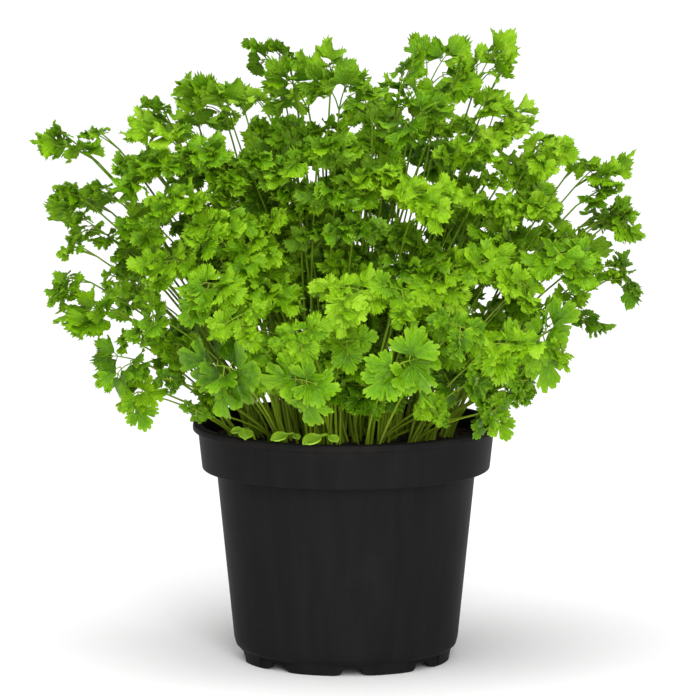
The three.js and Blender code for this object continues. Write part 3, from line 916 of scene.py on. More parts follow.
def placeCrowns():
    crowns = []
    for i in range(bush["plants"]):
        distance = bush["bedRadius"] * math.sqrt((i + 0.5) / bush["plants"])
        turn = math.radians(i * bush["goldenAngle"])
        x, y = distance * math.cos(turn), distance * math.sin(turn)
        crowns.append({"x": x, "y": y, "top": soilTop(distance), "leaves": []})
    return crowns


def domeRadiusAt(height):
    share = (height - bush["domeMiddle"]) / bush["domeHalfHeight"]
    return bush["domeRadius"] * math.sqrt(max(0.05, 1 - share * share))


def placeHiddenLeaves(draw):
    places = []
    (lowest, height), (firstTurn, arc) = bush["rearHeight"], bush["rearTurn"]
    nod, lessNod = bush["rearNod"]
    for i in range(bush["rearLeaves"]):
        share = (i + 0.5) / bush["rearLeaves"]
        z = lowest + height * share
        turn = math.radians(firstTurn + arc * ((i * bush["goldenShare"]) % 1))
        distance = domeRadiusAt(z) * draw(*bush["rearRing"])
        x, y = distance * math.cos(turn), distance * math.sin(turn)
        places.append((x, y, z, draw(*bush["rearWidth"]), nod - lessNod * share))
    for i in range(bush["innerLeaves"]):
        turn = math.radians(i * bush["goldenAngle"])
        distance = draw(*bush["innerRing"])
        z = draw(*bush["innerHeight"])
        x, y = distance * math.cos(turn), distance * math.sin(turn)
        places.append((x, y, z, draw(*bush["innerWidth"]), bush["innerNod"]))
    return places


def nearestCrown(crowns, place):
    # The crown nearest to the foot of the leaf's lean
    distance = max(1.0, math.sqrt(place[0] * place[0] + place[1] * place[1]))
    share = min(bush["lean"], bush["bedRadius"] / distance)
    x, y = place[0] * share, place[1] * share
    return min(crowns, key=lambda crown: (crown["x"] - x) ** 2 + (crown["y"] - y) ** 2)


def shapeLeaf(place, crown, draw, effort):
    x, y, z, width, lowering = place
    shift = bush["placePlay"] * effort
    fork = np.array([x + draw(-shift, shift), y + draw(-shift, shift), z + draw(-shift, shift)])
    foot = np.array([crown["x"], crown["y"], crown["top"]])
    reach = fork - foot
    aside = unit(np.array([-reach[1], reach[0], 0.0]))
    outward = unit(np.array([reach[0], reach[1], 0.0]))
    (bowOut, bowUp), (sway, lean) = bush["bow"], bush["bowPlay"]
    bow = foot + outward * (bowOut * math.sqrt(reach[0] * reach[0] + reach[1] * reach[1]))
    bow = bow + upward * (bowUp * reach[2])
    bow = bow + aside * (draw(-sway, sway) * (0.4 + effort))
    bow = bow + outward * (draw(-lean, lean) * effort)
    rise = unit(fork - bow)
    turn = math.radians(draw(-bush["turnPlay"], bush["turnPlay"]))
    level = unit(np.cross(rise, upward))
    nod = math.radians(lowering + draw(-bush["nodPlay"], bush["nodPlay"]))
    face = unit(np.cross(level, rise))
    along = unit(rise * math.cos(nod) - face * math.sin(nod))
    out = unit(np.cross(level, along))
    across = unit(level * math.cos(turn) + along * math.sin(turn))
    ahead = unit(np.cross(out, across))
    roll = math.radians(draw(-bush["rollPlay"], bush["rollPlay"]))
    rolled = unit(across * math.cos(roll) + out * math.sin(roll))
    leaf = {"crown": crown, "foot": foot, "bow": bow, "fork": fork, "span": bush["fullness"] * width}
    leaf.update({"across": rolled, "along": ahead, "out": unit(np.cross(rolled, ahead))})
    leaf.update({"arch": draw(*bush["arch"]), "wave": bush["wave"], "phase": draw(0, 2 * math.pi)})
    return leaf


def stalkPoint(leaf, share):
    rest = 1 - share
    return leaf["foot"] * rest * rest + leaf["bow"] * 2 * rest * share + leaf["fork"] * share * share


def onBlade(leaf, across, along, lift=0.0):
    distance = math.sqrt(across * across + along * along)
    turn = math.atan2(along, across)
    bend = -leaf["arch"] * distance * distance / leaf["span"]
    rise = min(1, 2.4 * distance / leaf["span"])
    wave = leaf["wave"] * rise * rise * math.sin(bush["waves"] * turn + leaf["phase"])
    flat = leaf["fork"] + leaf["across"] * across + leaf["along"] * along
    return flat + leaf["out"] * (bend + wave + lift)


blade = {
    "forkAt": 0.035,
    "foot": -0.09,
    "neck": 0.045,
    # turn, start, radius and neck of each fan, for a blade one wide
    "fans": ((2, 0.14, 0.42, 0.1), (90, 0.17, 0.46, 0.12), (178, 0.14, 0.42, 0.1)),
    "spread": 31,
    "notch": 0.78,
    "shorter": 0.02,
    "shape": (0.84, 0.62),
}


def outlineBlade():
    # Three fans with three teeth each
    forkAt, neck, (long, wide) = blade["forkAt"], blade["neck"], blade["shape"]
    outline = [(0, blade["foot"] - forkAt)]
    for turn, start, radius, neckAt in blade["fans"]:
        cosine, sine = math.cos(math.radians(turn)), math.sin(math.radians(turn))
        points = [(neckAt, -neck)]
        for i in range(5):
            spread = math.radians((i - 2) * blade["spread"])
            reach = (1 if i % 2 == 0 else blade["notch"]) * (radius - blade["shorter"] * abs(i - 2))
            points.append((start + long * reach * math.cos(spread), wide * reach * math.sin(spread)))
        points.append((neckAt, neck))
        outline += [(r * cosine - a * sine, r * sine + a * cosine - forkAt) for r, a in points]
    return outline


def triangulateBlade():
    triangles = [(0, 1, 21), (1, 7, 8), (1, 8, 14), (1, 14, 21), (14, 15, 21)]
    for first in (1, 8, 15):
        last, tip = first + 6, first + 3
        triangles += [(first, first + 1, first + 2), (first, first + 2, tip), (first, tip, last)]
        triangles += [(last, tip, tip + 1), (last, tip + 1, tip + 2)]
    return triangles


def markLeaf(leaf, outline, triangles):
    # Points that a leaf fills, for keeping leaves clear of each other
    count = math.ceil(math.dist(leaf["fork"], leaf["foot"]) / bush["markSpacing"])
    stalk = [stalkPoint(leaf, i / count) for i in range(1, count + 1)]
    rim = [onBlade(leaf, u * leaf["span"], v * leaf["span"]) for u, v in outline]
    middles = [(rim[a] + rim[b] + rim[c]) / 3 for a, b, c in triangles]
    leaf["marks"] = np.array(stalk + rim + middles)


def isClear(leaf, grown):
    marks = leaf["marks"]
    distance = np.hypot(marks[:, 0], marks[:, 1])
    height = marks[:, 2]
    inside, outside = bush["lipRoom"]
    nearLip = (distance > bush["bandRadius"] - inside) & (distance < bush["lipRadius"] + outside)
    if np.any((height < bush["lipHeight"] + outside) & nearLip):
        return False
    started = np.linalg.norm(marks - leaf["foot"], axis=1) > bush["footLength"]
    overSoil = distance < bush["lipRadius"]
    if np.any(started & overSoil & (height < soilTop(distance) + bush["soilRoom"])):
        return False
    high = marks[height >= leaf["foot"][2] + bush["crownHeight"]]
    for other in grown:
        mine = high if other["crown"] is leaf["crown"] else marks
        if len(mine) == 0:
            continue
        apart = mine[:, None, :] - other["marks"][None, :, :]
        if np.any(np.sum(apart * apart, axis=2) < bush["clearance"] ** 2):
            return False
    return True


def turnedAbout(vector, axis, degrees):
    angle = math.radians(degrees)
    turned = vector * math.cos(angle) + np.cross(axis, vector) * math.sin(angle)
    return turned + axis * float(axis @ vector) * (1 - math.cos(angle))


def growSeedling(turn, lengths):
    angle = math.radians(turn)
    outward = np.array([math.sin(angle), -math.cos(angle), 0.0])
    foot = outward * seedlings["ring"] + upward * soilTop(seedlings["ring"])
    fork = outward * seedlings["forkRing"] + upward * seedlings["forkHeight"]
    bowOut, bowUnder = seedlings["bow"]
    bow = outward * (seedlings["ring"] + bowOut) + upward * (seedlings["forkHeight"] - bowUnder)
    sprout = {"x": foot[0], "y": foot[1], "top": foot[2], "leaves": []}
    for side, length in zip((-1, 1), lengths):
        level = turnedAbout(outward, upward, side * seedlings["spread"])
        across = unit(np.cross(level, upward))
        along = turnedAbout(level, across, -seedlings["tilt"])
        out = unit(np.cross(across, along))
        leaf = {"crown": sprout, "foot": foot, "bow": bow, "fork": fork, "span": length}
        leaf.update({"across": across, "along": along, "out": out})
        leaf.update({"arch": seedlings["arch"], "wave": 0, "phase": 0})
        markLeaf(leaf, seedlings["outline"], seedlings["triangles"])
        sprout["leaves"].append(leaf)
    return sprout


def growLeaves(crowns, sprouts):
    draw = makeDraw(bush["seed"])
    outline, triangles = outlineBlade(), triangulateBlade()
    grown = [leaf for sprout in sprouts for leaf in sprout["leaves"]]
    hidden = placeHiddenLeaves(draw)
    for place in shownLeaves + hidden:
        crown = nearestCrown([crown for crown in crowns if len(crown["leaves"]) < bush["leavesEach"]], place)
        for attempt in range(bush["attempts"]):
            leaf = shapeLeaf(place, crown, draw, attempt / bush["attempts"])
            markLeaf(leaf, outline, triangles)
            if isClear(leaf, grown):
                grown.append(leaf)
                crown["leaves"].append(leaf)
                break
    return grown


crowns = placeCrowns()
sprouts = [growSeedling(turn, lengths) for turn, lengths in seedlings["each"]]
grownLeaves = growLeaves(crowns, sprouts)
print("leaves grown:", len(grownLeaves))

print("stage: leaflets")
def toothedEdge(draw, half, teeth, steps, sinus, depth):
    # Angle, radius, share of the fan and height on its tooth along the rim: a middle lobe and two shorter
    sizes = [draw(*leaflet["sideLobes"]), 1.0, draw(*leaflet["sideLobes"])]
    sideWidths, baseRadius = leaflet["sideWidths"], leaflet["baseRadius"]
    widths = [draw(*sideWidths), draw(*leaflet["middleWidth"]), draw(*sideWidths)]
    drop, power = leaflet["lobeRound"]
    start, edge = -half, [(-half, baseRadius, 0.0, 0)]
    for lobe in range(3):
        width = 2 * half * widths[lobe] / sum(widths)
        for i in range(teeth):
            tall = draw(*leaflet["toothTall"])
            for share, height in leaflet["toothSteps"][steps]:
                rel = (i + share) / teeth
                radius = sizes[lobe] * (1 - drop * abs(2 * rel - 1) ** power)
                radius *= tall if height else 1 - depth * draw(*leaflet["toothDeep"])
                if rel == 1:
                    radius = sinus * draw(*leaflet["sinusPlay"]) if lobe < 2 else baseRadius
                edge.append((start + width * rel, radius, (lobe + rel) / 3, height))
        start += width
    return edge


def bendLeaflet(angle, radius, bend, curl):
    # Place on the leaflet's bent surface at a radius, followed out from its base
    droop, pleat, ruffle, waves, phase, whole = bend
    reach, rise, steps, power = 0.0, 0.0, leaflet["bendSteps"], leaflet["curlPower"]
    for k in range(steps):
        s = radius / whole * (k + 0.5) / steps
        slope = leaflet["firstRise"] - droop * s + pleat * s * math.cos(3 * angle) + curl * s**power
        slope += ruffle * s * s * math.sin(waves * angle + phase)
        reach += radius / steps * math.cos(slope)
        rise += radius / steps * math.sin(slope)
    return np.array([reach * math.sin(angle), reach * math.cos(angle), rise])


def joinRings(rings, way):
    # Triangles between a side's rings, each finer than the one inside it
    faces = []
    for inner, outer in zip(rings, rings[1:]):
        groups = max(1, len(inner) - 1)
        step = (len(outer) - 1) // groups
        for group in range(groups):
            # The end groups turn on an inner point, or both sides would share their faces
            turnAt = 0 if group == 0 else step if group == groups - 1 else step // 2
            ends = inner[group], inner[min(group + 1, len(inner) - 1)]
            for k in range(step):
                at = group * step + k
                faces.append((ends[k >= turnAt], outer[at + 1], outer[at])[::way])
            if len(inner) > 1:
                faces.append((*ends, outer[group * step + turnAt])[::way])
    return faces


def makeLeaflet(name, draw, recipe):
    # A thin closed fan, one long, that droops, pleats between its lobes and crisps at its rim
    _, halfFan, teeth, steps, sinus, depth, droops, ruffles, pleats, crisp = recipe
    edge = toothedEdge(draw, halfFan, teeth, steps, sinus, depth)
    bend = [draw(*droops), draw(*pleats), draw(*ruffles), draw(*leaflet["waves"]), draw(0, 2 * math.pi)]
    loose = [draw(*leaflet["lifts"]) * crisp for _ in edge]
    lifts = [leaflet["liftSmoothing"] * (one + other) for one, other in zip(loose, loose[1:] + loose[:1])]
    points, maps, rings = [np.zeros(3)], [(0.5, 0.01)], {1: [[0]], -1: [[0]]}
    columns, probe = [*leaflet["ringColumns"], len(edge) - 1], leaflet["probe"]
    for share, count in zip([*leaflet["innerRings"], 1.0], columns):
        for numbers in rings.values():
            numbers.append([])
        for j, (turn, radius, across, height) in enumerate(edge[:: (len(edge) - 1) // count]):
            angle = math.radians(turn)
            whole = [*bend, radius]
            curl = lifts[j // 2] * (1 if height else -0.5) if share == 1 else 0
            here = bendLeaflet(angle, radius * share, whole, curl)
            aside = bendLeaflet(angle + probe, radius * share, whole, curl) - here
            ahead = bendLeaflet(angle, radius * share + probe, whole, curl) - here
            isOutline = share == 1 or j in (0, count)
            for side in (1, -1):
                if side == 1 or not isOutline:
                    half = 0 if isOutline else leaflet["thickness"] / 2 * side
                    points.append(here + unit(np.cross(aside, ahead)) * half)
                    maps.append((across, share))
                rings[side][-1].append(len(points) - 1)
    upper, lower = joinRings(rings[1], 1), joinRings(rings[-1], -1)
    return meshFrom(name, points, upper + lower, maps, [1] * len(upper) + [-1] * len(lower))


def surfaceNormals(grid):
    # Normals of a grid of points, facing up, by differences along both ways
    aside = np.gradient(grid, axis=0)
    ahead = np.gradient(grid, axis=1)
    normal = np.cross(aside, ahead)
    length = np.maximum(np.linalg.norm(normal, axis=2, keepdims=True), 1e-9)
    return normal / length


def meshFrom(name, points, faces, maps, sides=None):
    # A side of -1 turns the second map value of that face's corners
    mesh = bpy.data.meshes.new(name)
    mesh.from_pydata([tuple(map(float, p)) for p in points], [], faces, shade_flat=False)
    layer = mesh.uv_layers.new(name="leafMap")
    corners = np.zeros(len(mesh.loops), dtype=np.int32)
    mesh.loops.foreach_get("vertex_index", corners)
    cornerMaps = np.array(maps, dtype=np.float32)[corners]
    if sides:
        cornerMaps[:, 1] *= np.repeat(sides, [len(face) for face in faces])
    layer.data.foreach_set("uv", cornerMaps.ravel())
    shape = bmesh.new()
    shape.from_mesh(mesh)
    bmesh.ops.recalc_face_normals(shape, faces=shape.faces)
    shape.to_mesh(mesh)
    shape.free()
    mesh.set_sharp_from_angle(angle=math.radians(leaflet["sharpAngle"]))
    return mesh


spoon = {
    "columns": 9,
    "rows": 10,
    "stem": 0.04,
    "width": 0.25,
    "blade": 0.33,
    "tip": 0.015,
    # how it cups, droops and rises
    "cup": 0.06,
    "droop": 0.22,
    "rise": 0.05,
    "halfThickness": 0.03,
}


def makeSpoon(name):
    # A smooth seed leaf, one long
    columns, rows, length = spoon["columns"], spoon["rows"], spoon["blade"]
    points, maps, faces = [], [], []
    grid = np.zeros((columns, rows + 1, 3))
    for j in range(columns):
        across = 2 * j / (columns - 1) - 1
        for k in range(rows + 1):
            s = k / rows
            off = min(1.0, abs(s - 1 + length) / length)
            half = max(spoon["tip"], spoon["stem"] * (1 - s**4) + spoon["width"] * (1 - off**2.2) ** 0.5)
            rise = spoon["cup"] * across * across - spoon["droop"] * s * s + spoon["rise"] * s
            grid[j, k] = (across * half, s, rise)
    normals = surfaceNormals(grid)
    for side in (1, -1):
        for j in range(columns):
            for k in range(rows + 1):
                points.append(grid[j, k] + normals[j, k] * spoon["halfThickness"] * side)
                maps.append((j / (columns - 1), k / rows))
    count, wide, last = columns * (rows + 1), rows + 1, columns - 1
    for j in range(last):
        for k in range(rows):
            a, b, c, d = j * wide + k, j * wide + k + 1, (j + 1) * wide + k + 1, (j + 1) * wide + k
            faces.append((a, b, c, d))
            faces.append((count + d, count + c, count + b, count + a))
    loop = [*range(rows)] + [j * wide + rows for j in range(last)]
    loop += [last * wide + k for k in range(rows, 0, -1)] + [j * wide for j in range(last, 0, -1)]
    for here, after in zip(loop, loop[1:] + loop[:1]):
        faces.append((here, count + here, count + after, after))
    return meshFrom(name, points, faces, maps)


def makeShelves():
    # Each kind's shapes stand in a row on the shelf; firstOf gives where the kind starts
    draw = makeDraw(leaflet["seed"])
    leafletShelf = bpy.data.collections.new("leafletShelf")
    firstOf, number = {}, 0
    for kind, recipe in leaflet["kinds"].items():
        firstOf[kind] = number
        for _ in range(recipe[0]):
            name = "leaflet_%02d" % number
            leafletShelf.objects.link(bpy.data.objects.new(name, makeLeaflet(name, draw, recipe)))
            number += 1
    spoonShelf = bpy.data.collections.new("spoonShelf")
    spoonShelf.objects.link(bpy.data.objects.new("spoon_0", makeSpoon("spoon_0")))
    return leafletShelf, firstOf, spoonShelf


leafletShelf, firstOf, spoonShelf = makeShelves()

print("stage: plants")
plant = {
    "stalkRadius": (0.66, 0.38),
    "stalkThick": (0.85, 1.15),
    "crownThick": 1.15,
    "crownDepth": 3,
    "petioluleRadius": (0.36, 0.22),
    "petiolulePoints": 5,
    "twigRadii": [0.28, 0.25, 0.2],
    "stalkPoints": 10,
    "stalkSides": 5,
    # shares of the leaf's width that its three parts reach and that a leaflet is long, degrees that the
    # parts point to, then the leaflets of a part: share of the way along it and degrees off its line
    "dense": ((0.24, 0.28, 0.24), 0.27, (4, 90, 176), [(0.3, 72), (0.64, 56), (0.92, 34)]),
    "airy": ((0.25, 0.28, 0.25), 0.35, (24, 90, 156), [(0.62, 50), (0.96, 26)]),
    "inner": ((0.26, 0.3, 0.26), 0.31, (4, 90, 176), [(0.42, 66), (0.85, 40)]),
    "low": ((0.2, 0.23, 0.2), 0.35, (4, 90, 176), [(0.45, 66)]),
    "sorts": {"inner": "inner", "low": "flat", "airy": "wedge"},
    # shares of an airy leaf's stalk where its fork and the middle of its blade are
    "airyTip": 0.88,
    "airyBase": 0.955,
    # leaves outside this width and over this height are airy
    "airyFrom": (94, 228),
    # a broad leaflet's chance on a dense leaf, under this height, and its size
    "flatChance": 0.08,
    "flatBelow": 190,
    "flatSize": 1.1,
    "lowSize": 0.88,
    "lowBelow": 150,
    "lowFront": -30,
    "longestLeaflet": 13.0,
    "endSize": 1.12,
    "sideSize": 0.92,
    # play of lengths, in shares, and of directions, in degrees
    "leafletPlay": (0.88, 1.16),
    "partPlay": (0.85, 1.15),
    "lengthPlay": (0.88, 1.12),
    "sizePlay": (0.85, 1.12),
    "liftPlay": 0.35,
    "bendPlay": 0.06,
    "partTurn": 10,
    "leafletTurn": 14,
    "leafletRoll": 42,
    "leafletTilt": (-0.65, 0.5),
    "leafletDip": 0.1,
    "twig": 0.16,
    "twigPlay": (0.7, 1.3),
    "twigInLeaflet": 0.06,
    # tone and painted shade of a leaf: middle, painted light gained with height and with distance from the
    # axis, painted shade lost inside, at the right, low down and at the front, and play
    "tone": 0.42,
    "toneHeight": (120, 140, 0.16),
    "toneOutside": (95, 0.12),
    "tonePlay": 0.19,
    "leafletTonePlay": 0.09,
    "dimInside": 0.12,
    "dimRight": 0.14,
    "dimLow": 0.07,
    "dimFront": (-70, 0.05),
    "ripple": 0.9,
    "rippleSize": 3.0,
    "seed": 911,
    # short leaves inside the dome: how many, ranges of height, width and nod, and spread
    "fillLeaves": 98,
    "fillHeight": (120, 104),
    "fillWidth": (22, 28),
    "fillNod": (30, 95),
    "fillSpread": 0.74,
    "fillEffort": 0.3,
    "fillShares": (0.7548777, 0.5698403),
    "fillSeed": 77,
    "footSpread": 3.2,
    "fillFootSpread": 1.6,
    "seedLeafFacing": np.array([0.0, -0.55, 0.0]),
    "seedStalkRadius": (0.75, 0.7, 0.45),
    "seedStalkPoints": 7,
    # Middles of the smooth broad leaves over the lip, seen from the front, and how near a leaf must be
    "flatSpots": [(-49, 130), (24, 134), (81, 146), (-88, 120), (59, 110), (-13, 123), (5, 150)],
    "flatReach": 15.0,
    # Small leaves that close the bush's outline, placed as the shown ones
    "youngLeaves": [
        (-124, -6, 229, 12, 30), (-108, -6, 230, 12, 30), (-104, -4, 206, 15, 50), (-112, -2, 192, 15, 60),
        (-104, 0, 184, 15, 60), (-124, -4, 160, 13, 70), (-93, -6, 180, 15, 70), (-100, -10, 168, 12, 70),
        (108, -4, 203, 15, 60), (101, -8, 170, 14, 70), (112, -2, 192, 14, 60), (96, -12, 186, 13, 60),
        (114, -4, 172, 13, 70), (-26, 8, 263, 12, 20), (68, 2, 255, 12, 20), (48, -6, 256, 12, 20),
        (37, -55, 113, 12, 70), (-62, -40, 112, 12, 100), (64, -30, 118, 12, 100), (-94, -30, 124, 12, 100),
        (-11, -4, 231, 16, 60), (-24, -8, 232, 14, 60), (23, 0, 240, 15, 50), (37, -6, 228, 16, 60),
        (-54, -6, 218, 14, 60), (-64, -2, 216, 14, 60),
        (62, -30, 211, 14, 70), (-120, -4, 206, 13, 50), (-74, -52, 127, 12, 95), (63, -50, 113, 17, 105),
        (98, -20, 163, 13, 80), (90, -44, 137, 13, 90), (-98, -34, 146, 13, 90),
        (-80, -2, 238, 14, 45), (-46, 0, 248, 13, 40), (101, -2, 216, 14, 45), (121, -4, 196, 12, 60),
        (-120, -4, 181, 13, 65), (120, -6, 173, 11, 80),
        # two shown leaves that find no room among the solid ones
        (26, 8, 254, 18, 25), (-14, -28, 197, 22, 70),
    ],
}


def makePlantTree():
    # Tubes along the sketch's edges, and a leaflet on each of its marked points
    inputs = {"Leaflets": "Collection", "Stalk sides": "Int", "Ripple": "Float", "Ripple size": "Float"}
    inputs.update({"Leaf finish": "Material", "Stalk finish": "Material"})
    tree, maker, given = startTree("plantGrowth", inputs)
    sockets = {"Geometry": given["Geometry"], "Selection": maker.attribute("isLeaflet", "BOOLEAN")}
    split = maker.node("GeometryNodeSeparateGeometry", None, sockets)
    facing, kind = maker.attribute("facing", "FLOAT_VECTOR"), maker.attribute("kind", "INT")
    placed = maker.scatter(split[0], given["Leaflets"], facing, maker.attribute("size", "FLOAT"), kind)
    real = maker.node("GeometryNodeRealizeInstances", None, {0: placed})[0]
    sockets = {"Vector": maker.node("GeometryNodeInputPosition")[0], "Scale": 1 / given["Ripple size"]}
    sway = maker.node("ShaderNodeTexNoise", None, {**sockets, "Detail": 1.0})["Color"]
    middle = (0.5, 0.5, 0.5)
    centred = maker.node("ShaderNodeVectorMath", {"operation": "SUBTRACT"}, {0: sway, 1: middle})[0]
    sockets = {0: centred, "Scale": given["Ripple"]}
    offset = maker.node("ShaderNodeVectorMath", {"operation": "SCALE"}, sockets)[0]
    crisped = maker.node("GeometryNodeSetPosition", None, {"Geometry": real, "Offset": offset})[0]
    path = maker.node("GeometryNodeMeshToCurve", None, {0: split[1]})[0]
    sockets = {"Resolution": given["Stalk sides"], "Radius": 1.0}
    section = maker.node("GeometryNodeCurvePrimitiveCircle", None, sockets)[0]
    sockets = {"Curve": path, "Profile Curve": section, "Fill Caps": True}
    sockets["Scale"] = maker.attribute("thick", "FLOAT")
    tube = maker.node("GeometryNodeCurveToMesh", None, sockets)[0]
    tube = maker.node("GeometryNodeRealizeInstances", None, {0: tube})[0]
    leaves, stalks = maker.coat(crisped, given["Leaf finish"]), maker.coat(tube, given["Stalk finish"])
    joined = maker.node("GeometryNodeJoinGeometry", None, {0: stalks})
    tree.links.new(leaves.socket, joined.node.inputs[0])
    maker.node("NodeGroupOutput", None, {0: joined[0]})
    return tree


class Sketch:
    # Paths of stalks and places of leaflets for one plant, in millimetres
    def __init__(self):
        self.points, self.edges, self.rows = [], [], []

    def addPath(self, path, radii):
        for i, (point, radius) in enumerate(zip(path, radii)):
            if i:
                self.edges.append((len(self.points) - 1, len(self.points)))
            self.points.append(point)
            self.rows.append((False, (0, 0, 0), 0, 1.0, 0.5, radius * mm))

    def addLeaflet(self, point, ahead, out, length, kind, tone):
        across = unit(np.cross(ahead, out))
        turn = Matrix((across, ahead, out)).transposed().to_euler()
        self.points.append(point)
        self.rows.append((True, tuple(turn), kind, length * mm, tone, 0.0))

    def toObject(self, name):
        mesh = bpy.data.meshes.new(name)
        mesh.from_pydata([tuple(map(float, p * mm)) for p in self.points], self.edges, [])
        columns = list(zip(*self.rows))
        layers = {"isLeaflet": "BOOLEAN", "facing": "FLOAT_VECTOR", "kind": "INT"}
        layers.update({"size": "FLOAT", "tone": "FLOAT", "thick": "FLOAT"})
        for (label, kind), values in zip(layers.items(), columns):
            layer = mesh.attributes.new(label, kind, "POINT")
            width = {"BOOLEAN": bool, "INT": np.int32}.get(kind, np.float32)
            field = "vector" if kind == "FLOAT_VECTOR" else "value"
            layer.data.foreach_set(field, np.array(values, dtype=width).ravel())
        return addObject(name, mesh)


def bezier(first, middle, last, count):
    shares = [k / (count - 1) for k in range(count)]
    return [first * (1 - t) ** 2 + middle * 2 * t * (1 - t) + last * t * t for t in shares]


def taper(low, high, count):
    return [low + (high - low) * (k / (count - 1)) ** 0.8 for k in range(count)]


def leafToneAndShade(leaf, draw):
    # Painted light and shade, besides a random tone: brighter towards the top and outside, darker inside,
    # low down and at the sides
    x, y, z = leaf["fork"]
    (lowest, span, gain), (edge, edgeGain) = plant["toneHeight"], plant["toneOutside"]
    height = (z - lowest) / span
    outside = min(1.0, math.hypot(x, y) / edge)
    side, (front, frontPaintedShade) = plant["airyFrom"][0], plant["dimFront"]
    if leaf.get("isFill"):
        paintedShade = plant["dimInside"]
    elif x > side:
        paintedShade = plant["dimRight"]
    else:
        paintedShade = plant["dimLow"] if z < plant["lowBelow"] or x < -side else 0
    paintedShade += frontPaintedShade if y < front else 0
    play = plant["tonePlay"]
    return plant["tone"] + gain * height + edgeGain * outside - paintedShade + draw(-play, play)


def leafStyle(leaf):
    x, y, z = leaf["fork"]
    if leaf.get("isFill"):
        return "inner"
    isNear = any(math.dist((x, z), spot) < plant["flatReach"] for spot in plant["flatSpots"])
    if y < plant["lowFront"] and isNear:
        return "low"
    side, top = plant["airyFrom"]
    return "airy" if abs(x) > side or z > top else "dense"


def addLeaflet(sketch, leaf, joint, turn, length, isEnd, tone, draw):
    # A short twig off the part's line, with a leaflet at its end
    roll, play = plant["leafletRoll"], plant["leafletTonePlay"]
    way = math.radians(turn + draw(-plant["leafletTurn"], plant["leafletTurn"]))
    hop = plant["twig"] * length * draw(*plant["twigPlay"])
    flatStep = leaf["across"] * math.cos(way) + leaf["along"] * math.sin(way)
    ahead = unit(flatStep + leaf["out"] * (draw(*plant["leafletTilt"]) - plant["leafletDip"]))
    side = unit(np.cross(ahead, leaf["out"]))
    out = turnedAbout(unit(np.cross(side, ahead)), ahead, draw(-roll, roll))
    base = joint + ahead * hop
    tip = base + ahead * plant["twigInLeaflet"] * length
    sketch.addPath([joint, (joint + base) / 2, tip], plant["twigRadii"])
    isBroad = draw(0, 1) < plant["flatChance"] and leaf["top"] < plant["flatBelow"]
    sort = plant["sorts"].get(leaf["style"], "flat" if isBroad else "curly")
    kind = firstOf[sort] + int(draw(0, leaflet["kinds"][sort][0] - 0.001))
    size = length * plant["endSize" if isEnd else "sideSize"] * draw(*plant["sizePlay"])
    size *= plant["flatSize"] if sort == "flat" else 1.0
    sketch.addLeaflet(base, ahead, out, size, kind, tone + draw(-play, play))


def addBlade(sketch, leaf, draw):
    # The leaf divides in three, and each part again in three to seven leaflets
    tone, style, z = leafToneAndShade(leaf, draw), leafStyle(leaf), leaf["fork"][2]
    reaches, lengthShare, turns, pairs = plant[style]
    start, leaf = leaf["fork"], {**leaf, "style": style, "top": z}
    if style == "airy":
        start = stalkPoint(leaf, plant["airyTip"])
        leaf["fork"] = stalkPoint(leaf, plant["airyBase"])
    leafletLength = min(plant["longestLeaflet"], leaf["span"] * lengthShare) * draw(*plant["leafletPlay"])
    if style == "low" and z < plant["lowBelow"]:
        leafletLength *= plant["lowSize"]
    for turn, reachShare in zip(turns, reaches):
        turn += draw(-plant["partTurn"], plant["partTurn"])
        reach = leaf["span"] * reachShare * draw(*plant["partPlay"])
        lift = draw(-plant["liftPlay"], plant["liftPlay"]) * reach
        cosine, sine = math.cos(math.radians(turn)), math.sin(math.radians(turn))

        def at(distance, aside=0.0):
            u, v = distance * cosine - aside * sine, distance * sine + aside * cosine
            return onBlade(leaf, u, v, lift * distance / reach)

        middle = at(reach * 0.5, draw(-plant["bendPlay"], plant["bendPlay"]) * reach)
        count = plant["petiolulePoints"]
        sketch.addPath(bezier(start, middle, at(reach), count), taper(*plant["petioluleRadius"], count))
        length = leafletLength * draw(*plant["lengthPlay"])
        joints = [(share, spread * way) for share, spread in pairs for way in (-1, 1)] + [(1.0, 0)]
        for share, spread in joints:
            addLeaflet(sketch, leaf, at(reach * share), turn + spread, length, spread == 0, tone, draw)


def makePlant(name, crown, tree, draw):
    sketch = Sketch()
    count, spread, (low, high) = plant["stalkPoints"], plant["footSpread"], plant["stalkRadius"]
    last = count - 1
    for leaf in crown["leaves"]:
        shift = np.array([draw(-spread, spread), draw(-spread, spread), 0.0])
        shift = shift * (plant["fillFootSpread"] if leaf.get("isFill") else 1)
        tip = plant["airyTip"] if leafStyle(leaf) == "airy" else 1
        path = [leaf["foot"] + shift - upward * plant["crownDepth"]]
        path += [stalkPoint(leaf, tip * k / last) + shift * (1 - k / last) ** 1.5 for k in range(count)]
        thick = draw(*plant["stalkThick"])
        radii = [low * plant["crownThick"] * thick] + [r * thick for r in taper(low, high, count)]
        sketch.addPath(path, radii)
        addBlade(sketch, leaf, draw)
    growPiece(sketch, name, tree, leafletShelf, leafFinish, plant["ripple"], plant["rippleSize"])
    dress(scene.objects[name], name.replace("Leaves", ""))


def growPiece(sketch, name, tree, shelf, finish, ripple, rippleSize):
    # The sketch as a plain mesh, without the attributes that only its tree reads
    piece = sketch.toObject(name)
    values = {"Leaflets": shelf, "Stalk sides": plant["stalkSides"], "Ripple": ripple * mm}
    values.update({"Ripple size": rippleSize * mm, "Leaf finish": finish, "Stalk finish": stalkFinish})
    addTree(piece, tree, values)
    made = applied(piece)
    for label in ("isLeaflet", "facing", "kind", "size", "thick"):
        if label in made.attributes:
            made.attributes.remove(made.attributes[label])


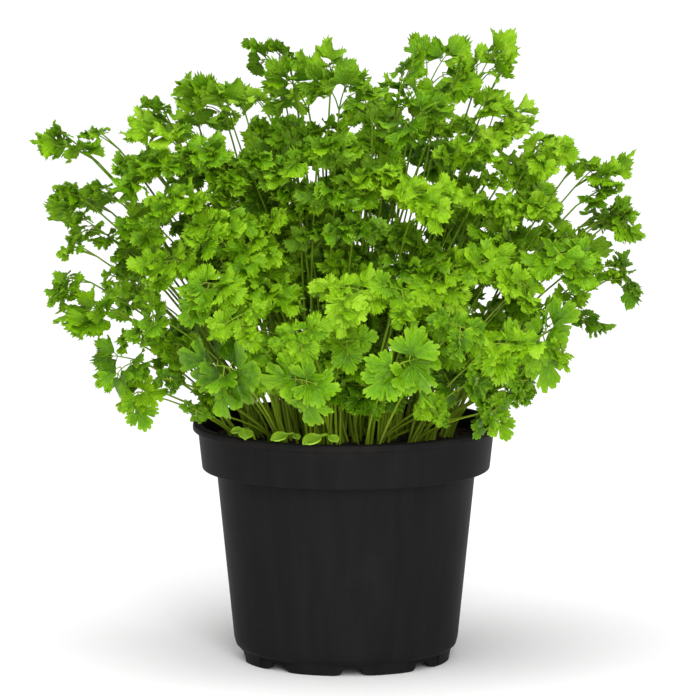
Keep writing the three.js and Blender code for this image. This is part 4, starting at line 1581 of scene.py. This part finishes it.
def makeSeedling(name, sprout, tree):
    sketch = Sketch()
    first, count = sprout["leaves"][0], plant["seedStalkPoints"]
    crownRadius, low, high = plant["seedStalkRadius"]
    path = [first["foot"] - upward * 2] + bezier(first["foot"], first["bow"], first["fork"], count)
    sketch.addPath(path, [crownRadius] + taper(low, high, count))
    for leaf in sprout["leaves"]:
        out = unit(leaf["out"] - leaf["along"] * (leaf["out"] @ leaf["along"]) + plant["seedLeafFacing"])
        sketch.addLeaflet(leaf["fork"], leaf["along"], out, leaf["span"], 0, 0.5)
    growPiece(sketch, name, tree, spoonShelf, seedLeafFinish, 0.0, 10.0)
    dress(scene.objects[name], name.replace("Leaves", ""))


def addExtra(place, draw):
    leaf = shapeLeaf(place, nearestCrown(crowns, place), draw, plant["fillEffort"])
    leaf["crown"]["leaves"].append(leaf)
    return leaf


def growFill():
    # Short leaves close the gaps inside the dome, and small ones its outline
    draw = makeDraw(plant["fillSeed"])
    (lowest, span), (heightShare, ringShare) = plant["fillHeight"], plant["fillShares"]
    for i in range(plant["fillLeaves"]):
        height = lowest + span * ((i * heightShare) % 1)
        turn = math.radians(i * bush["goldenAngle"])
        distance = domeRadiusAt(height) * math.sqrt((i * ringShare) % 1) * plant["fillSpread"]
        x, y = distance * math.cos(turn), distance * math.sin(turn)
        place = (x, y, height, draw(*plant["fillWidth"]), draw(*plant["fillNod"]))
        addExtra(place, draw)["isFill"] = True
    for place in plant["youngLeaves"]:
        addExtra(place, draw)


def makeBush():
    growFill()
    tree = makePlantTree()
    draw = makeDraw(plant["seed"])
    for i, crown in enumerate(crowns):
        makePlant("parsley_plant_%02dLeaves" % (i + 1), crown, tree, draw)
    for i, sprout in enumerate(sprouts):
        makeSeedling("seedling_%dLeaves" % (i + 1), sprout, tree)
    emptyShelf(leafletShelf)
    emptyShelf(spoonShelf)


makeBush()

print("stage: sizes")
shown = [thing for thing in scene.objects if thing.type == "MESH" and not thing.hide_render]
print("triangles:", sum(len(thing.data.loop_triangles) for thing in shown))
